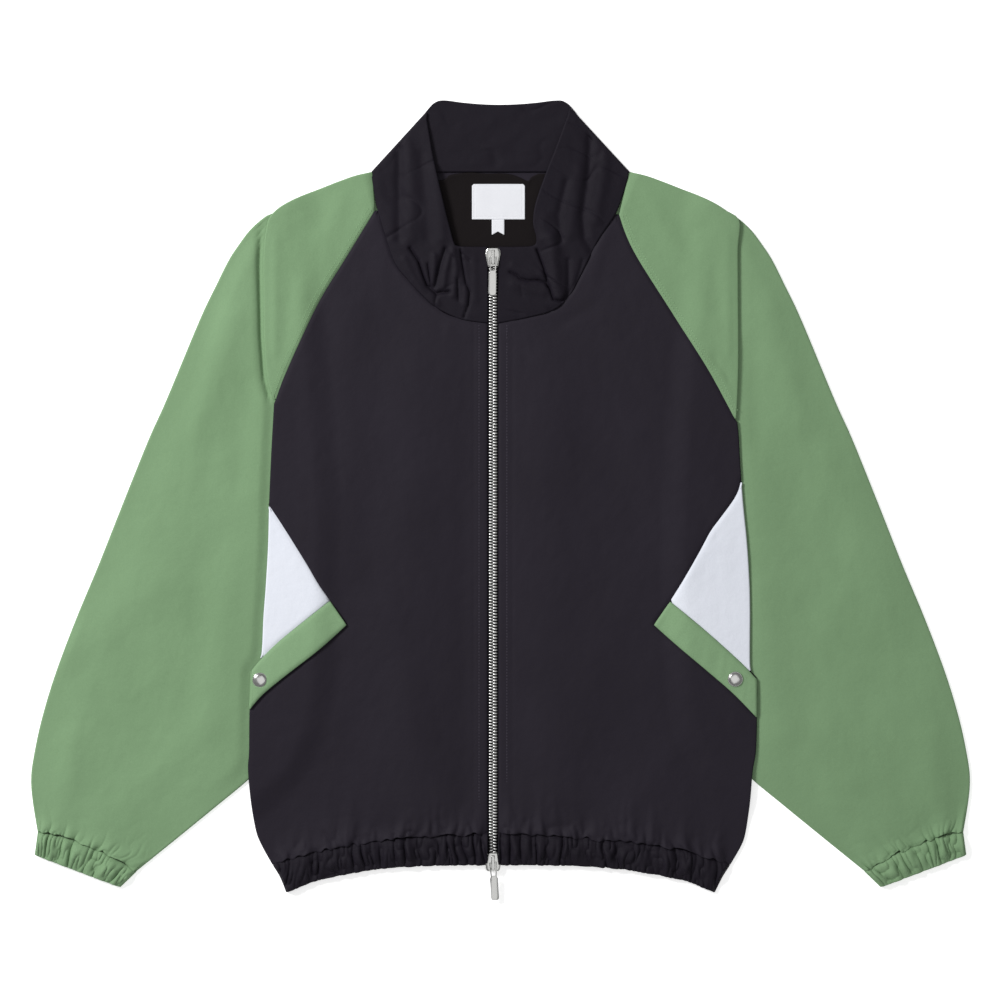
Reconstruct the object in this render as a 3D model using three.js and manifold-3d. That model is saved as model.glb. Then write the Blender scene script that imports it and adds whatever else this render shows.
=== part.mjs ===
// Zipped track jacket laid flat on its back.
// Millimetres. +Z is up, +Y runs to the collar, +X is the wearer's left.
import * as THREE from 'three';
import Module from 'manifold-3d';
import { mergeVertices } from 'three/addons/utils/BufferGeometryUtils.js';

// Cloth and layers
const cloth = 1.0;
const casing = 1.2;
const collarCloth = 2.0;
const layerStep = 2.2;
const floorLayer = cloth / 2;
const seamGap = 0.3;
const halfGap = seamGap / 2;
const bodyPuff = 1.6;
const sleevePuff = 1.4;
const puffReach = 80;
const rampStart = 42;
const rampEnd = 12;
const foldSeam = 0.3;

// Zip
const zipX = -7.5;
const chainWidth = 8.5;
const chainThick = 2.4;
const edgeFromZip = 5.7;
const tapeWidth = 12;
const tapeThick = 0.7;
const tapeDrop = 1.15;
const collarRise = 2.4;
const neckY = 177.5;
const collarTopY = 252.5;
const chainTopY = 245;
const chainBottomY = -363.5;

// Hem and gathers
const hemSeamY = -333;
const hemFadeY = -240;
const hemWaves = { right: 14, left: 16 };
const hemWaveHeight = 1.6;
const cuffWaves = 10;
const cuffWaveHeight = 1.5;
const stepsPerWave = 5;

const sides = ['right', 'left'];
const sign = { right: -1, left: 1 };

const colours = {
  black: 0x2d2a30,
  green: 0x7a9c73,
  white: 0xe6e9f0,
  lining: 0x1e1a1b,
  tape: 0x242226,
  silver: 0xc6c6c8,
};

// Rows of a table become objects with the named columns
function table(names, rows) {
  const keys = names.split(' ');
  return rows.map((row) => Object.fromEntries(keys.map((key, i) => [key, row[i]])));
}

// Outer edge of the jacket from the neck point over the shoulder and down the sleeve, both sides alike
const silhouette = table('out y', [
  [128.8, 328.5], [145.5, 324.7], [162.7, 318.6], [180, 311.8], [197.5, 304.9], [214.5, 296.5],
  [231.6, 285.9], [248.8, 272.1], [260.9, 256.6], [271.5, 240.5], [283.5, 216.5], [300.5, 180.9],
  [334, 100.5], [351.5, 61.5], [376.5, -0.5], [401.8, -64.5], [424.7, -119.5], [445.5, -175],
  [459.2, -221], [467.2, -259.5], [469.2, -279.2], [467.6, -300.5], [462.5, -331.5],
]);
const shoulderRows = 6;

// Inner edge of the sleeve, tucked under the body as far as the side edge and then in the open
const sleeveInner = table('out y', [
  [226, 276], [216, 190], [206, 98], [200, 0], [200, -100], [206, -200], [226, -252],
  [252, -279], [282, -304], [320, -335], [364.5, -371],
]);

// Side edge of the body, straight down the side seam
const sideEdge = table('y right left', [
  [99, 226, 237.3], [80.5, 227, 236.4], [63, 228, 238], [40, 229.2, 239.2], [0, 230.9, 242],
  [-43, 232, 246.2], [-83, 234.2, 248.6], [-115, 236.6, 249.2], [-159, 239.5, 249],
  [-171, 249.3, 250.5], [-179, 249.6, 256], [-217, 250.7, 256], [-250, 251, 255],
  [-270, 252, 251.8], [-303, 249, 249], [-329, 244.7, 245.5], [-343, 239.5, 241.5],
  [-362, 229, 230.8], [-376, 220.5, 222], [-391, 214.4, 214.4],
]);

// Crease of the shoulder panel where it folds under itself over the sleeve
const crease = {
  right: table('out y', [
    [231.6, 278.5], [236.5, 250], [236.8, 213], [236, 160], [233, 122], [226.4, 100.5],
  ]),
  left: table('out y', [
    [238.5, 279], [237.2, 250], [237.4, 213], [237.8, 144], [237, 110], [235.6, 82],
  ]),
};

// Raglan seam across the front, from the neck down to the armpit
const raglanSeam = {
  right: table('out y', [
    [123.5, 293], [152.5, 245.5], [180, 200.7], [199, 161], [216, 123], [224.6, 99.5],
  ]),
  left: table('out y', [
    [117, 290], [132.2, 250.6], [171.8, 186.9], [192.5, 154.2], [211.5, 123.2], [234, 81],
  ]),
};

// Front neck seam from the shoulder panel to the zip
const neckSeam = {
  right: table('out y', [
    [123.5, 293], [116.5, 270.5], [106.5, 239.5], [92.5, 220.5], [80.5, 207.5], [67.5, 195.5],
    [52.5, 185.5], [30.5, 179.5], [13.2, 177.5],
  ]),
  left: table('out y', [
    [117, 290], [101.5, 267.5], [89.5, 244.5], [78, 221.5], [72.5, 209.5], [62.5, 198.5],
    [52.5, 190.5], [33.5, 184.5], [-1.8, 177.5],
  ]),
};

// White insert, pocket welt and the places where they meet the side edge
const insertEdge = {
  right: table('y out', [
    [-4.2, 231.3], [-22.5, 219], [-45, 204.7], [-65.6, 192], [-84.8, 180.8], [-100.4, 170],
  ]),
  left: table('y out', [
    [20, 240], [5.5, 235.3], [-12.8, 222.8], [-29.5, 210.3], [-49.5, 199.3], [-69.5, 188], [-86.2, 178.2],
    [-101, 169],
  ]),
};
const weltTop = {
  right: table('y out', [[-100.4, 170], [-121.5, 197], [-141.5, 221.6], [-159, 239.5], [-171, 249.3]]),
  left: table('y out', [[-101, 169], [-126, 199.5], [-147, 223.5], [-165, 243], [-179, 256]]),
};
const weltBottom = {
  right: table('y out', [[-124, 153.6], [-148.5, 180.8], [-173.3, 212.7], [-193, 236.6], [-209, 250.6]]),
  left: table('y out', [[-124, 153.2], [-144, 175.5], [-171, 207.5], [-193, 232.7], [-217, 256]]),
};
const insertRows = {
  right: [-6.5, -22.5, -45, -65.6, -84.8, -100.4, -121.5, -141.5, -157],
  left: [17.5, 5.5, -12.8, -29.5, -49.5, -69.5, -86.2, -101, -126, -147, -163],
};
const snapSpot = { right: { out: 239.8, y: -179 }, left: { out: 234, y: -178 } };

// Rows down the side of the front and back, the same ones on both pieces
const sideRows = {
  right: [
    97, 70, 50, 30, 10, -3.9, -22.5, -45, -65.6, -84.8, -100.4, -124, -148.5, -173.3, -193, -209, -213, -250,
    -290, -333,
  ],
  left: [
    79, 60, 20.3, 5.5, -12.8, -29.5, -49.5, -69.5, -86.2, -101, -124, -144, -171, -193, -216.7, -220.5, -250,
    -270, -290, -333,
  ],
};
const raglanSteps = 10;

// Hem casing: its seam with the body and its lower edge
const hemSeam = table('out y', [
  [0, -333], [50, -334], [80, -336], [110, -339], [140, -342.5], [168, -347], [190, -351.5], [210, -357],
  [228, -363.5],
]);
const hemEdge = table('out y', [
  [0, -363.4], [47, -363.6], [90, -365], [124, -368], [160, -374], [186, -380], [202, -386], [214.4, -391],
]);

// Cuff: outer and inner corner of its seam and of its open end
const cuffSeamBow = 6;
const cuffEnd = { outer: { out: 465.5, y: -353.5 }, inner: { out: 379.5, y: -386 } };

// Collar stations from the zip round to the shoulder: seam point, rim point and lift of the rim
const collarFront = {
  right: table('seam rimOut rimY lift', [
    [1, 13.2, 252.5, 2.4], [0.84, 30, 252.5, 2.4], [0.68, 43.5, 253.5, 2.6], [0.56, 47, 257.5, 3],
    [0.45, 50.5, 270, 3.2], [0.34, 55, 287, 3.2], [0.2, 61.5, 315, 3], [0, 68, 345, 2.4],
  ]),
  left: table('seam rimOut rimY lift', [
    [1, -1.8, 252.5, 2.4], [0.84, 18, 252.5, 2.4], [0.68, 33.5, 254, 2.6], [0.56, 36, 262, 3],
    [0.45, 33, 276, 3.2], [0.34, 35.5, 296, 3.2], [0.2, 46, 327, 3], [0, 55, 350, 2.4],
  ]),
};
const shoulderSeamRows = 2;
const collarCorner = { right: { out: 75.2, y: 387.5 }, left: { out: 70.5, y: 392 } };
const collarBack = table('out seamY rimOut rimY', [
  [108, 330.2, 61, 399.2], [64, 330.8, 36, 396.6], [22, 331.2, 12, 395], [-22, 331.2, -12, 395],
  [-64, 330.8, -36, 396.6], [-108, 330.2, -61, 399.2],
]);
const collarSteps = 5;
const backNeck = { out: 85, y: 329.5 };

// Soft folds pressed into the cloth: from, to, half width and height, side by side with the photo's own
const folds = table('x1 y1 x2 y2 width height', [
  [-98, 262, -66, 207, 9, -1.2], [-66, 245, -58, 205, 8, -1.0], [-106, 290, -82, 240, 12, 1.1],
  [40, 226, 14, 222, 8, 1.2], [66, 300, 54, 214, 11, 1.1], [92, 300, 74, 236, 12, -1.0],
  [-300, -40, -235, 20, 24, 1.0], [310, -20, 250, 55, 24, 1.0], [-430, -180, -330, -120, 26, 1.1],
  [425, -190, 330, -140, 26, 1.0], [-400, -330, -300, -230, 22, 1.2], [395, -330, 290, -235, 22, 1.2],
  [-440, -325, -425, -240, 16, 1.0], [440, -325, 428, -240, 16, 1.0],
]);

function lerp(a, b, t) {
  return a + (b - a) * t;
}

function smooth(from, to, value) {
  const t = THREE.MathUtils.clamp((value - from) / (to - from), 0, 1);
  return t * t * (3 - 2 * t);
}

// Linear reading of one table column against another that rises or falls steadily
function read(rows, key, value, column) {
  const rising = rows[rows.length - 1][key] > rows[0][key];
  const ordered = rising ? rows : [...rows].reverse();
  let i = 1;
  while (i < ordered.length - 1 && ordered[i][key] < value) i += 1;
  const [low, high] = [ordered[i - 1], ordered[i]];
  const t = THREE.MathUtils.clamp((value - low[key]) / (high[key] - low[key]), 0, 1);
  return lerp(low[column], high[column], t);
}

function plan(rows) {
  return rows.map((row) => new THREE.Vector2(row.out, row.y));
}

// Smooth plan curve through table rows, read by its share of length
function seamCurve(rows) {
  return new THREE.SplineCurve(plan(rows));
}

function sideX(side, y) {
  return read(sideEdge, 'y', y, side);
}

const shoulderPath = Object.fromEntries(sides.map((side) => [side,
  seamCurve([...silhouette.slice(0, shoulderRows), { out: 226, y: 289 }, ...crease[side]])]));
const outerPath = seamCurve([{ out: 220, y: 286 }, ...silhouette.slice(shoulderRows)]);
const innerPath = seamCurve(sleeveInner);
const raglanPath = Object.fromEntries(sides.map((side) => [side, seamCurve(raglanSeam[side])]));
const neckPath = Object.fromEntries(sides.map((side) => [side, seamCurve(neckSeam[side])]));

// Plan outlines used to find where cloth lies over cloth
const pathSteps = 40;
const sleeveOutline = [
  ...outerPath.getSpacedPoints(pathSteps),
  ...innerPath.getSpacedPoints(pathSteps).reverse(),
];
const foldLine = Object.fromEntries(sides.map((side) => [side, [
  ...sideEdge.slice(1).reverse().map((row) => new THREE.Vector2(row[side], row.y)),
  ...shoulderPath[side].getSpacedPoints(pathSteps).reverse(),
  new THREE.Vector2(collarCorner[side].out, collarCorner[side].y),
]]));

function segmentDistance(point, a, b) {
  const along = new THREE.Vector2().subVectors(b, a);
  const rel = new THREE.Vector2().subVectors(point, a);
  const t = THREE.MathUtils.clamp(rel.dot(along) / along.lengthSq(), 0, 1);
  return rel.addScaledVector(along, -t).length();
}

function lineDistance(point, line) {
  let best = Infinity;
  for (let i = 1; i < line.length; i += 1) {
    best = Math.min(best, segmentDistance(point, line[i - 1], line[i]));
  }
  return best;
}

function inside(point, outline) {
  let odd = false;
  for (let i = 0, j = outline.length - 1; i < outline.length; j = i, i += 1) {
    const [a, b] = [outline[i], outline[j]];
    const crosses = (a.y > point.y) !== (b.y > point.y);
    if (crosses && point.x < a.x + ((b.x - a.x) * (point.y - a.y)) / (b.y - a.y)) odd = !odd;
  }
  return odd;
}

// Height added where two sleeve layers lie below the body
function sleeveLift(side, out, y) {
  const point = new THREE.Vector2(out, y);
  const away = inside(point, sleeveOutline) ? 0 : lineDistance(point, [...sleeveOutline, sleeveOutline[0]]);
  return 2 * layerStep * (1 - smooth(rampEnd, rampStart, away));
}

function foldHeight(x, y) {
  const point = new THREE.Vector2(x, y);
  let height = 0;
  for (const fold of folds) {
    const a = new THREE.Vector2(fold.x1, fold.y1);
    const b = new THREE.Vector2(fold.x2, fold.y2);
    height += fold.height * Math.exp(-((segmentDistance(point, a, b) / fold.width) ** 2));
  }
  return height;
}

function underZ(side, out, y) {
  return floorLayer + sleeveLift(side, out, y);
}

function overZ(side, out, y) {
  const away = lineDistance(new THREE.Vector2(out, y), foldLine[side]);
  return underZ(side, out, y) + layerStep + bodyPuff * smooth(0, puffReach, away);
}

function sleeveTopZ(side, out, y) {
  const point = new THREE.Vector2(out, y);
  const fromBody = out > sideX(side, y) ? lineDistance(point, foldLine[side]) : 0;
  const fromEdge = lineDistance(point, sleeveOutline);
  const room = smooth(cloth * 6, puffReach * 0.8, fromBody) * smooth(0, puffReach / 2, fromEdge);
  return floorLayer + layerStep + room * (sleevePuff + foldHeight(sign[side] * out, y));
}

// Closed wall of the given thickness round a grid of mid-surface points
function wall(grid, thickness, ring = false) {
  const rows = grid.length;
  const cols = grid[0].length;
  const near = (i, j) => grid[THREE.MathUtils.clamp(i, 0, rows - 1)][
    ring ? (j + cols) % cols : THREE.MathUtils.clamp(j, 0, cols - 1)];
  const positions = [];
  for (const face of [0.5, -0.5]) {
    for (let i = 0; i < rows; i += 1) {
      for (let j = 0; j < cols; j += 1) {
        const down = new THREE.Vector3().subVectors(near(i + 1, j), near(i - 1, j));
        const across = new THREE.Vector3().subVectors(near(i, j + 1), near(i, j - 1));
        const normal = down.cross(across).normalize();
        const point = grid[i][j].clone().addScaledVector(normal, face * thickness);
        positions.push(point.x, point.y, point.z);
      }
    }
  }
  const indices = [];
  const quad = (a, b, c, d) => indices.push(a, b, c, a, c, d);
  const top = (i, j) => i * cols + (j % cols);
  const low = (i, j) => rows * cols + top(i, j);
  const spans = ring ? cols : cols - 1;
  for (let i = 0; i < rows - 1; i += 1) {
    for (let j = 0; j < spans; j += 1) {
      quad(top(i, j), top(i + 1, j), top(i + 1, j + 1), top(i, j + 1));
      quad(low(i, j), low(i, j + 1), low(i + 1, j + 1), low(i + 1, j));
    }
    if (!ring) {
      quad(top(i, 0), low(i, 0), low(i + 1, 0), top(i + 1, 0));
      quad(top(i, cols - 1), top(i + 1, cols - 1), low(i + 1, cols - 1), low(i, cols - 1));
    }
  }
  for (let j = 0; j < spans; j += 1) {
    quad(top(0, j), top(0, j + 1), low(0, j + 1), low(0, j));
    quad(top(rows - 1, j), low(rows - 1, j), low(rows - 1, j + 1), top(rows - 1, j + 1));
  }
  return closed(positions, indices);
}

// Turns a closed mesh the right way out
function closed(positions, indices) {
  const at = (i) => new THREE.Vector3().fromArray(positions, 3 * i);
  let volume = 0;
  for (let i = 0; i < indices.length; i += 3) {
    volume += at(indices[i]).dot(at(indices[i + 1]).cross(at(indices[i + 2])));
  }
  const faces = volume > 0 ? indices : indices.reverse();
  const geometry = new THREE.BufferGeometry();
  geometry.setAttribute('position', new THREE.Float32BufferAttribute(positions, 3));
  geometry.setIndex(faces);
  geometry.computeVertexNormals();
  return geometry;
}

const jacket = new THREE.Group();

function add(name, geometry, colour, metalness = 0) {
  const roughness = metalness ? 0.3 : 0.75;
  const material = new THREE.MeshStandardMaterial({ color: colour, metalness, roughness });
  const mesh = new THREE.Mesh(geometry, material);
  mesh.name = name;
  jacket.add(mesh);
  return mesh;
}

function place(side, out, y, z) {
  return new THREE.Vector3(sign[side] * out, y, z);
}

// Points round a fold: start and end angle are counted from the top of the arc
function foldArc(side, edge, normal, topZ, lowZ, thickness, angles) {
  const radius = (topZ - lowZ) / 2;
  const centre = edge.clone().addScaledVector(normal, -(radius + thickness / 2));
  return angles.map((angle) => {
    const reach = radius * Math.sin(angle);
    const z = (topZ + lowZ) / 2 + radius * Math.cos(angle);
    return place(side, centre.x + normal.x * reach, centre.y + normal.y * reach, z);
  });
}

const outward = new THREE.Vector2(1, 0);

// Outer end of one row of a panel: four points, either round the side fold or flat up to a seam
const foldInset = 2;
const seamSteps = [1.8, 1.2, 0.6, 0];
function rowEnd(side, out, y, folded, under) {
  const topZ = overZ(side, out - foldInset, y);
  const lowZ = underZ(side, out - foldInset, y);
  if (!folded) {
    const level = under ? underZ : overZ;
    return seamSteps.map((back) => place(side, out - back - halfGap, y, level(side, out - back, y)));
  }
  const edge = new THREE.Vector2(out, y);
  const stop = Math.PI / 2 + (under ? foldSeam : -foldSeam);
  const start = under ? Math.PI : 0;
  const angles = [0, 1, 2, 3].map((step) => lerp(start, stop, step / 3));
  return foldArc(side, edge, outward, topZ, lowZ, cloth, angles);
}

// Nominal row height to real height, where rows bend down to the hem seam
function hemDrop(out, y) {
  return (read(hemSeam, 'out', Math.abs(out), 'y') - hemSeamY) * smooth(hemFadeY, hemSeamY, y);
}

const hemSeamEnd = hemSeam[hemSeam.length - 1].out;
function sidePoint(side, row) {
  const guess = row + hemDrop(hemSeamEnd, row);
  return { out: sideX(side, guess), y: guess };
}

// Outer end of each front row: raglan seam, side edge, insert, welt, side edge again
function frontOuter(side, row) {
  const insert = insertEdge[side];
  const welt = weltBottom[side];
  if (row > insert[0].y || row < welt[welt.length - 1].y) {
    return { ...sidePoint(side, row), folded: true };
  }
  if (row >= insert[insert.length - 1].y) {
    return { out: read(insert, 'y', row, 'out') - halfGap, y: row };
  }
  return { out: read(welt, 'y', row, 'out') - 2 * halfGap, y: row };
}

const cornerShare = 0.02;
const raglanShares = Array.from({ length: raglanSteps + 1 },
  (_, i) => lerp(cornerShare, 1, i / raglanSteps));
const neckShares = collarFront.right.map((row) => Math.max(row.seam, cornerShare)).reverse();
const neckRows = neckShares.length - 1;
const frontEdge = { right: -zipX + edgeFromZip, left: zipX + edgeFromZip };

// Rows above the chest line rise to the neck at the zip
const chestY = 60;
const chestSpan = 140;
function centreY(outerY) {
  return outerY > chestY ? lerp(chestY, neckY, (outerY - chestY) / chestSpan) : outerY;
}

// Point of the front neck seam, moved out of the neck opening by the given gap
const slantRoom = 1.4;
function neckPoint(side, share, gap) {
  const point = neckPath[side].getPointAt(share);
  const tangent = neckPath[side].getTangentAt(share);
  return { out: point.x - tangent.y * gap * slantRoom, y: point.y + tangent.x * gap * slantRoom };
}

const zipRowStep = 12;
function frontRowEnds(side) {
  const rows = raglanShares.map((share, i) => {
    const outer = raglanPath[side].getPointAt(share);
    const inner = i <= neckRows
      ? neckPoint(side, neckShares[i], halfGap)
      : { out: frontEdge[side], y: Math.min(centreY(outer.y), neckY - zipRowStep * (i - neckRows)) };
    return { outer: { out: outer.x - halfGap, y: outer.y }, inner };
  });
  for (const row of sideRows[side]) {
    const y = Math.min(row, centreY(row));
    rows.push({ outer: frontOuter(side, row), inner: { out: frontEdge[side], y }, row });
  }
  return rows;
}

const turnRoom = 3;
function frontPanel(side) {
  const cols = 8;
  return frontRowEnds(side).map(({ outer, inner, row }) => {
    const points = [];
    for (let j = 0; j < cols; j += 1) {
      const t = j / cols;
      const out = lerp(inner.out, outer.out - turnRoom, t);
      const base = row === undefined ? lerp(inner.y, outer.y, t) : lerp(inner.y, row, t);
      const y = row === undefined ? base : base + hemDrop(out, row);
      points.push(place(side, out, y, overZ(side, out, y)));
    }
    return [...points, ...rowEnd(side, outer.out, outer.y, outer.folded, false)];
  });
}

// Back raglan seam from the back neck to the armpit, hidden under the jacket
const armpitInset = 2.2;
function backSeam(side, share) {
  const tip = crease[side][crease[side].length - 1];
  const reach = share > cornerShare ? share : 0;
  return { out: lerp(backNeck.out, tip.out - armpitInset, reach), y: lerp(backNeck.y, tip.y, reach) };
}

function backPanel() {
  const cols = 12;
  const rowsOf = (side) => [
    ...raglanShares.map((share) => ({ ...backSeam(side, share), folded: false })),
    ...sideRows[side].map((row) => ({ ...sidePoint(side, row), folded: true, row })),
  ];
  const [right, left] = [rowsOf('right'), rowsOf('left')];
  return right.map((start, i) => {
    const end = left[i];
    const ends = (side, point) => rowEnd(side, point.out, point.y, point.folded, true);
    const middle = [];
    for (let j = 1; j < cols; j += 1) {
      const t = j / cols;
      const x = lerp(-(start.out - turnRoom), end.out - turnRoom, t);
      const side = x < 0 ? 'right' : 'left';
      const flat = lerp(start.row ?? start.y, end.row ?? end.y, t);
      const y = start.row === undefined ? flat : flat + hemDrop(x, flat);
      middle.push(place(side, Math.abs(x), y, underZ(side, Math.abs(x), y)));
    }
    return [...ends('right', start).reverse(), ...middle, ...ends('left', end)];
  });
}

function turned(tangent, flip) {
  return new THREE.Vector2(tangent.y, -tangent.x).multiplyScalar(flip);
}

const halfTurn = [0, 1, 2, 3, 4].map((step) => (Math.PI * step) / 4);
const leastReach = 1.7;
const seamRoom = 0.8;

// Shoulder panel: front half, fold over the shoulder and crease, back half
function shoulderPanel(side) {
  const frontCols = 6;
  const backCols = 5;
  return raglanShares.map((share, i) => {
    const seam = raglanPath[side].getPointAt(share);
    const pathShare = i === 0 ? 0 : share;
    const edge = shoulderPath[side].getPointAt(pathShare);
    const normal = turned(shoulderPath[side].getTangentAt(pathShare), -1);
    const reach = Math.min(turnRoom, Math.max(leastReach, edge.distanceTo(seam) - seamRoom));
    const fold = edge.clone().addScaledVector(normal, -reach);
    const topZ = overZ(side, fold.x, fold.y);
    const lowZ = underZ(side, fold.x, fold.y);
    const back = backSeam(side, share);
    const start = new THREE.Vector2(seam.x + halfGap, seam.y + (i === 0 ? halfGap : 0));
    const end = new THREE.Vector2(back.out + halfGap, back.y);
    const layer = (from, to, count, level) => Array.from({ length: count }, (_, j) => {
      const spot = from.clone().lerp(to, j / count);
      return place(side, spot.x, spot.y, level(side, spot.x, spot.y));
    });
    const under = layer(end, fold, backCols, underZ).reverse();
    const turn = foldArc(side, edge, normal, topZ, lowZ, cloth, halfTurn);
    return [...layer(start, fold, frontCols, overZ), ...turn, ...under];
  });
}

// One flattened section of a sleeve or cuff as a closed ring, top layer first
function tubeRing(side, outer, inner, outerNormal, innerNormal, topCols, lowCols, topLevel, thickness, bow) {
  const lowZ = thickness / 2;
  const inset = layerStep / 2 + thickness;
  const from = outer.clone().addScaledVector(outerNormal, -inset);
  const to = inner.clone().addScaledVector(innerNormal, -inset);
  const spot = (t) => {
    const point = from.clone().lerp(to, t);
    point.y += bow * 4 * t * (1 - t);
    return point;
  };
  const topRow = [];
  for (let j = 1; j < topCols; j += 1) {
    const point = spot(j / topCols);
    topRow.push(place(side, point.x, point.y, topLevel(point, j / topCols)));
  }
  const lowRow = [];
  for (let j = lowCols - 1; j > 0; j -= 1) {
    const point = spot(j / lowCols);
    lowRow.push(place(side, point.x, point.y, lowZ));
  }
  const topZ = lowZ + layerStep;
  const outerArc = foldArc(side, outer, outerNormal, topZ, lowZ, thickness, [...halfTurn].reverse());
  const innerArc = foldArc(side, inner, innerNormal, topZ, lowZ, thickness, halfTurn);
  return [...outerArc, ...topRow, ...innerArc, ...lowRow];
}

const sleeveStart = 0.004;
const bowStart = 0.86;
function sleeve(side) {
  const stations = 17;
  const topCols = 9;
  const lowCols = 6;
  return Array.from({ length: stations + 1 }, (_, i) => {
    const share = lerp(sleeveStart, 1, i / stations);
    const outer = outerPath.getPointAt(share);
    const inner = innerPath.getPointAt(share);
    const outerNormal = turned(outerPath.getTangentAt(share), -1);
    const innerNormal = turned(innerPath.getTangentAt(share), 1);
    const level = (point) => sleeveTopZ(side, point.x, point.y);
    const bow = cuffSeamBow * smooth(bowStart, 1, share);
    return tubeRing(side, outer, inner, outerNormal, innerNormal, topCols, lowCols, level, cloth, bow);
  });
}

// Uneven gathers: every second wave is lower, and the spacing drifts a little
const gathers = { drift: 0.25, driftRate: 9, lower: 0.7, sharpness: 1.5, seamShare: 0.45 };
function gather(position, waves) {
  const drift = position + (gathers.drift / waves) * Math.sin(position * gathers.driftRate);
  const phase = drift * waves;
  const share = phase % 2 < 1 ? 1 : gathers.lower;
  return share * Math.sin(Math.PI * (phase % 1)) ** gathers.sharpness;
}

function cuff(side) {
  const rows = 3;
  const topCols = cuffWaves * stepsPerWave;
  const lowCols = 8;
  const start = { outer: outerPath.getPointAt(1), inner: innerPath.getPointAt(1) };
  const end = {
    outer: new THREE.Vector2(cuffEnd.outer.out, cuffEnd.outer.y),
    inner: new THREE.Vector2(cuffEnd.inner.out, cuffEnd.inner.y),
  };
  const down = new THREE.Vector2().subVectors(end.outer, start.outer).normalize();
  return Array.from({ length: rows + 1 }, (_, i) => {
    const t = i / rows;
    const clear = (1 - t) * 2 * seamGap;
    const outer = start.outer.clone().lerp(end.outer, t).addScaledVector(down, clear);
    const inner = start.inner.clone().lerp(end.inner, t).addScaledVector(down, clear);
    const across = new THREE.Vector2().subVectors(outer, inner).normalize();
    const height = cuffWaveHeight * lerp(gathers.seamShare, 1, smooth(0, 0.5, t));
    const level = (point, share) => casing / 2 + layerStep + height * gather(share, cuffWaves);
    const back = across.clone().negate();
    return tubeRing(side, outer, inner, across, back, topCols, lowCols, level, casing, cuffSeamBow * (1 - t));
  });
}

// White side insert between the front, the side edge and the pocket welt
const columnRoom = 0.1;
function sideInsert(side) {
  const cols = 5;
  const insert = insertEdge[side];
  return insertRows[side].map((y) => {
    const border = y >= insert[insert.length - 1].y ? insert : weltTop[side];
    const inner = read(border, 'y', y, 'out') + 2 * halfGap;
    const outer = sideX(side, y);
    const points = Array.from({ length: cols }, (_, j) => {
      const out = lerp(inner, Math.max(outer - turnRoom, inner), j / cols);
      return place(side, out, y, overZ(side, out, y));
    });
    const end = rowEnd(side, outer, y, true, false);
    return [...points, ...end].map((point, j) => {
      const least = inner + columnRoom * j;
      const out = Math.max(Math.abs(point.x), Math.min(least, outer));
      return new THREE.Vector3(sign[side] * out, point.y, point.z);
    });
  });
}

// Slanted pocket welt, double cloth, its outer end turned down round the side edge
const weltTurn = table('back drop', [[2.6, 0], [1.5, 0.35], [1.0, 1.0]]);
const weltEnds = { along: 0.006, across: 0.014 };
function pocketWelt(side) {
  const rows = 3;
  const [top, bottom] = [weltTop[side], weltBottom[side]];
  const share = (border, row) => (row.y - border[0].y) / (border[border.length - 1].y - border[0].y);
  const stations = [top, bottom].flatMap((border) => border.slice(1, -1).map((row) => share(border, row)));
  const shares = [weltEnds.along, ...stations.sort((a, b) => a - b), 1];
  const cols = shares.length - 1;
  return Array.from({ length: rows + 1 }, (_, i) => {
    const t = lerp(weltEnds.across, 1 - weltEnds.across, i / rows);
    const spots = shares.map((along) => {
      const upperY = lerp(top[0].y, top[top.length - 1].y, along);
      const lowerY = lerp(bottom[0].y, bottom[bottom.length - 1].y, along);
      const upper = new THREE.Vector2(read(top, 'y', upperY, 'out'), upperY);
      return upper.lerp(new THREE.Vector2(read(bottom, 'y', lowerY, 'out'), lowerY), t);
    });
    const along = new THREE.Vector2().subVectors(spots[cols], spots[cols - 1]).normalize();
    const end = spots[cols].clone();
    spots[cols].addScaledVector(along, -weltTurn[0].back);
    const level = (spot) => overZ(side, spot.x, spot.y) + cloth / 2;
    const points = spots.map((spot) => place(side, spot.x, spot.y, level(spot)));
    const endZ = points[cols].z;
    const turn = weltTurn.slice(1).map(({ back, drop }) => {
      const spot = end.clone().addScaledVector(along, -back);
      return place(side, spot.x, spot.y, endZ - drop);
    });
    return [...points, ...turn];
  });
}

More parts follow.
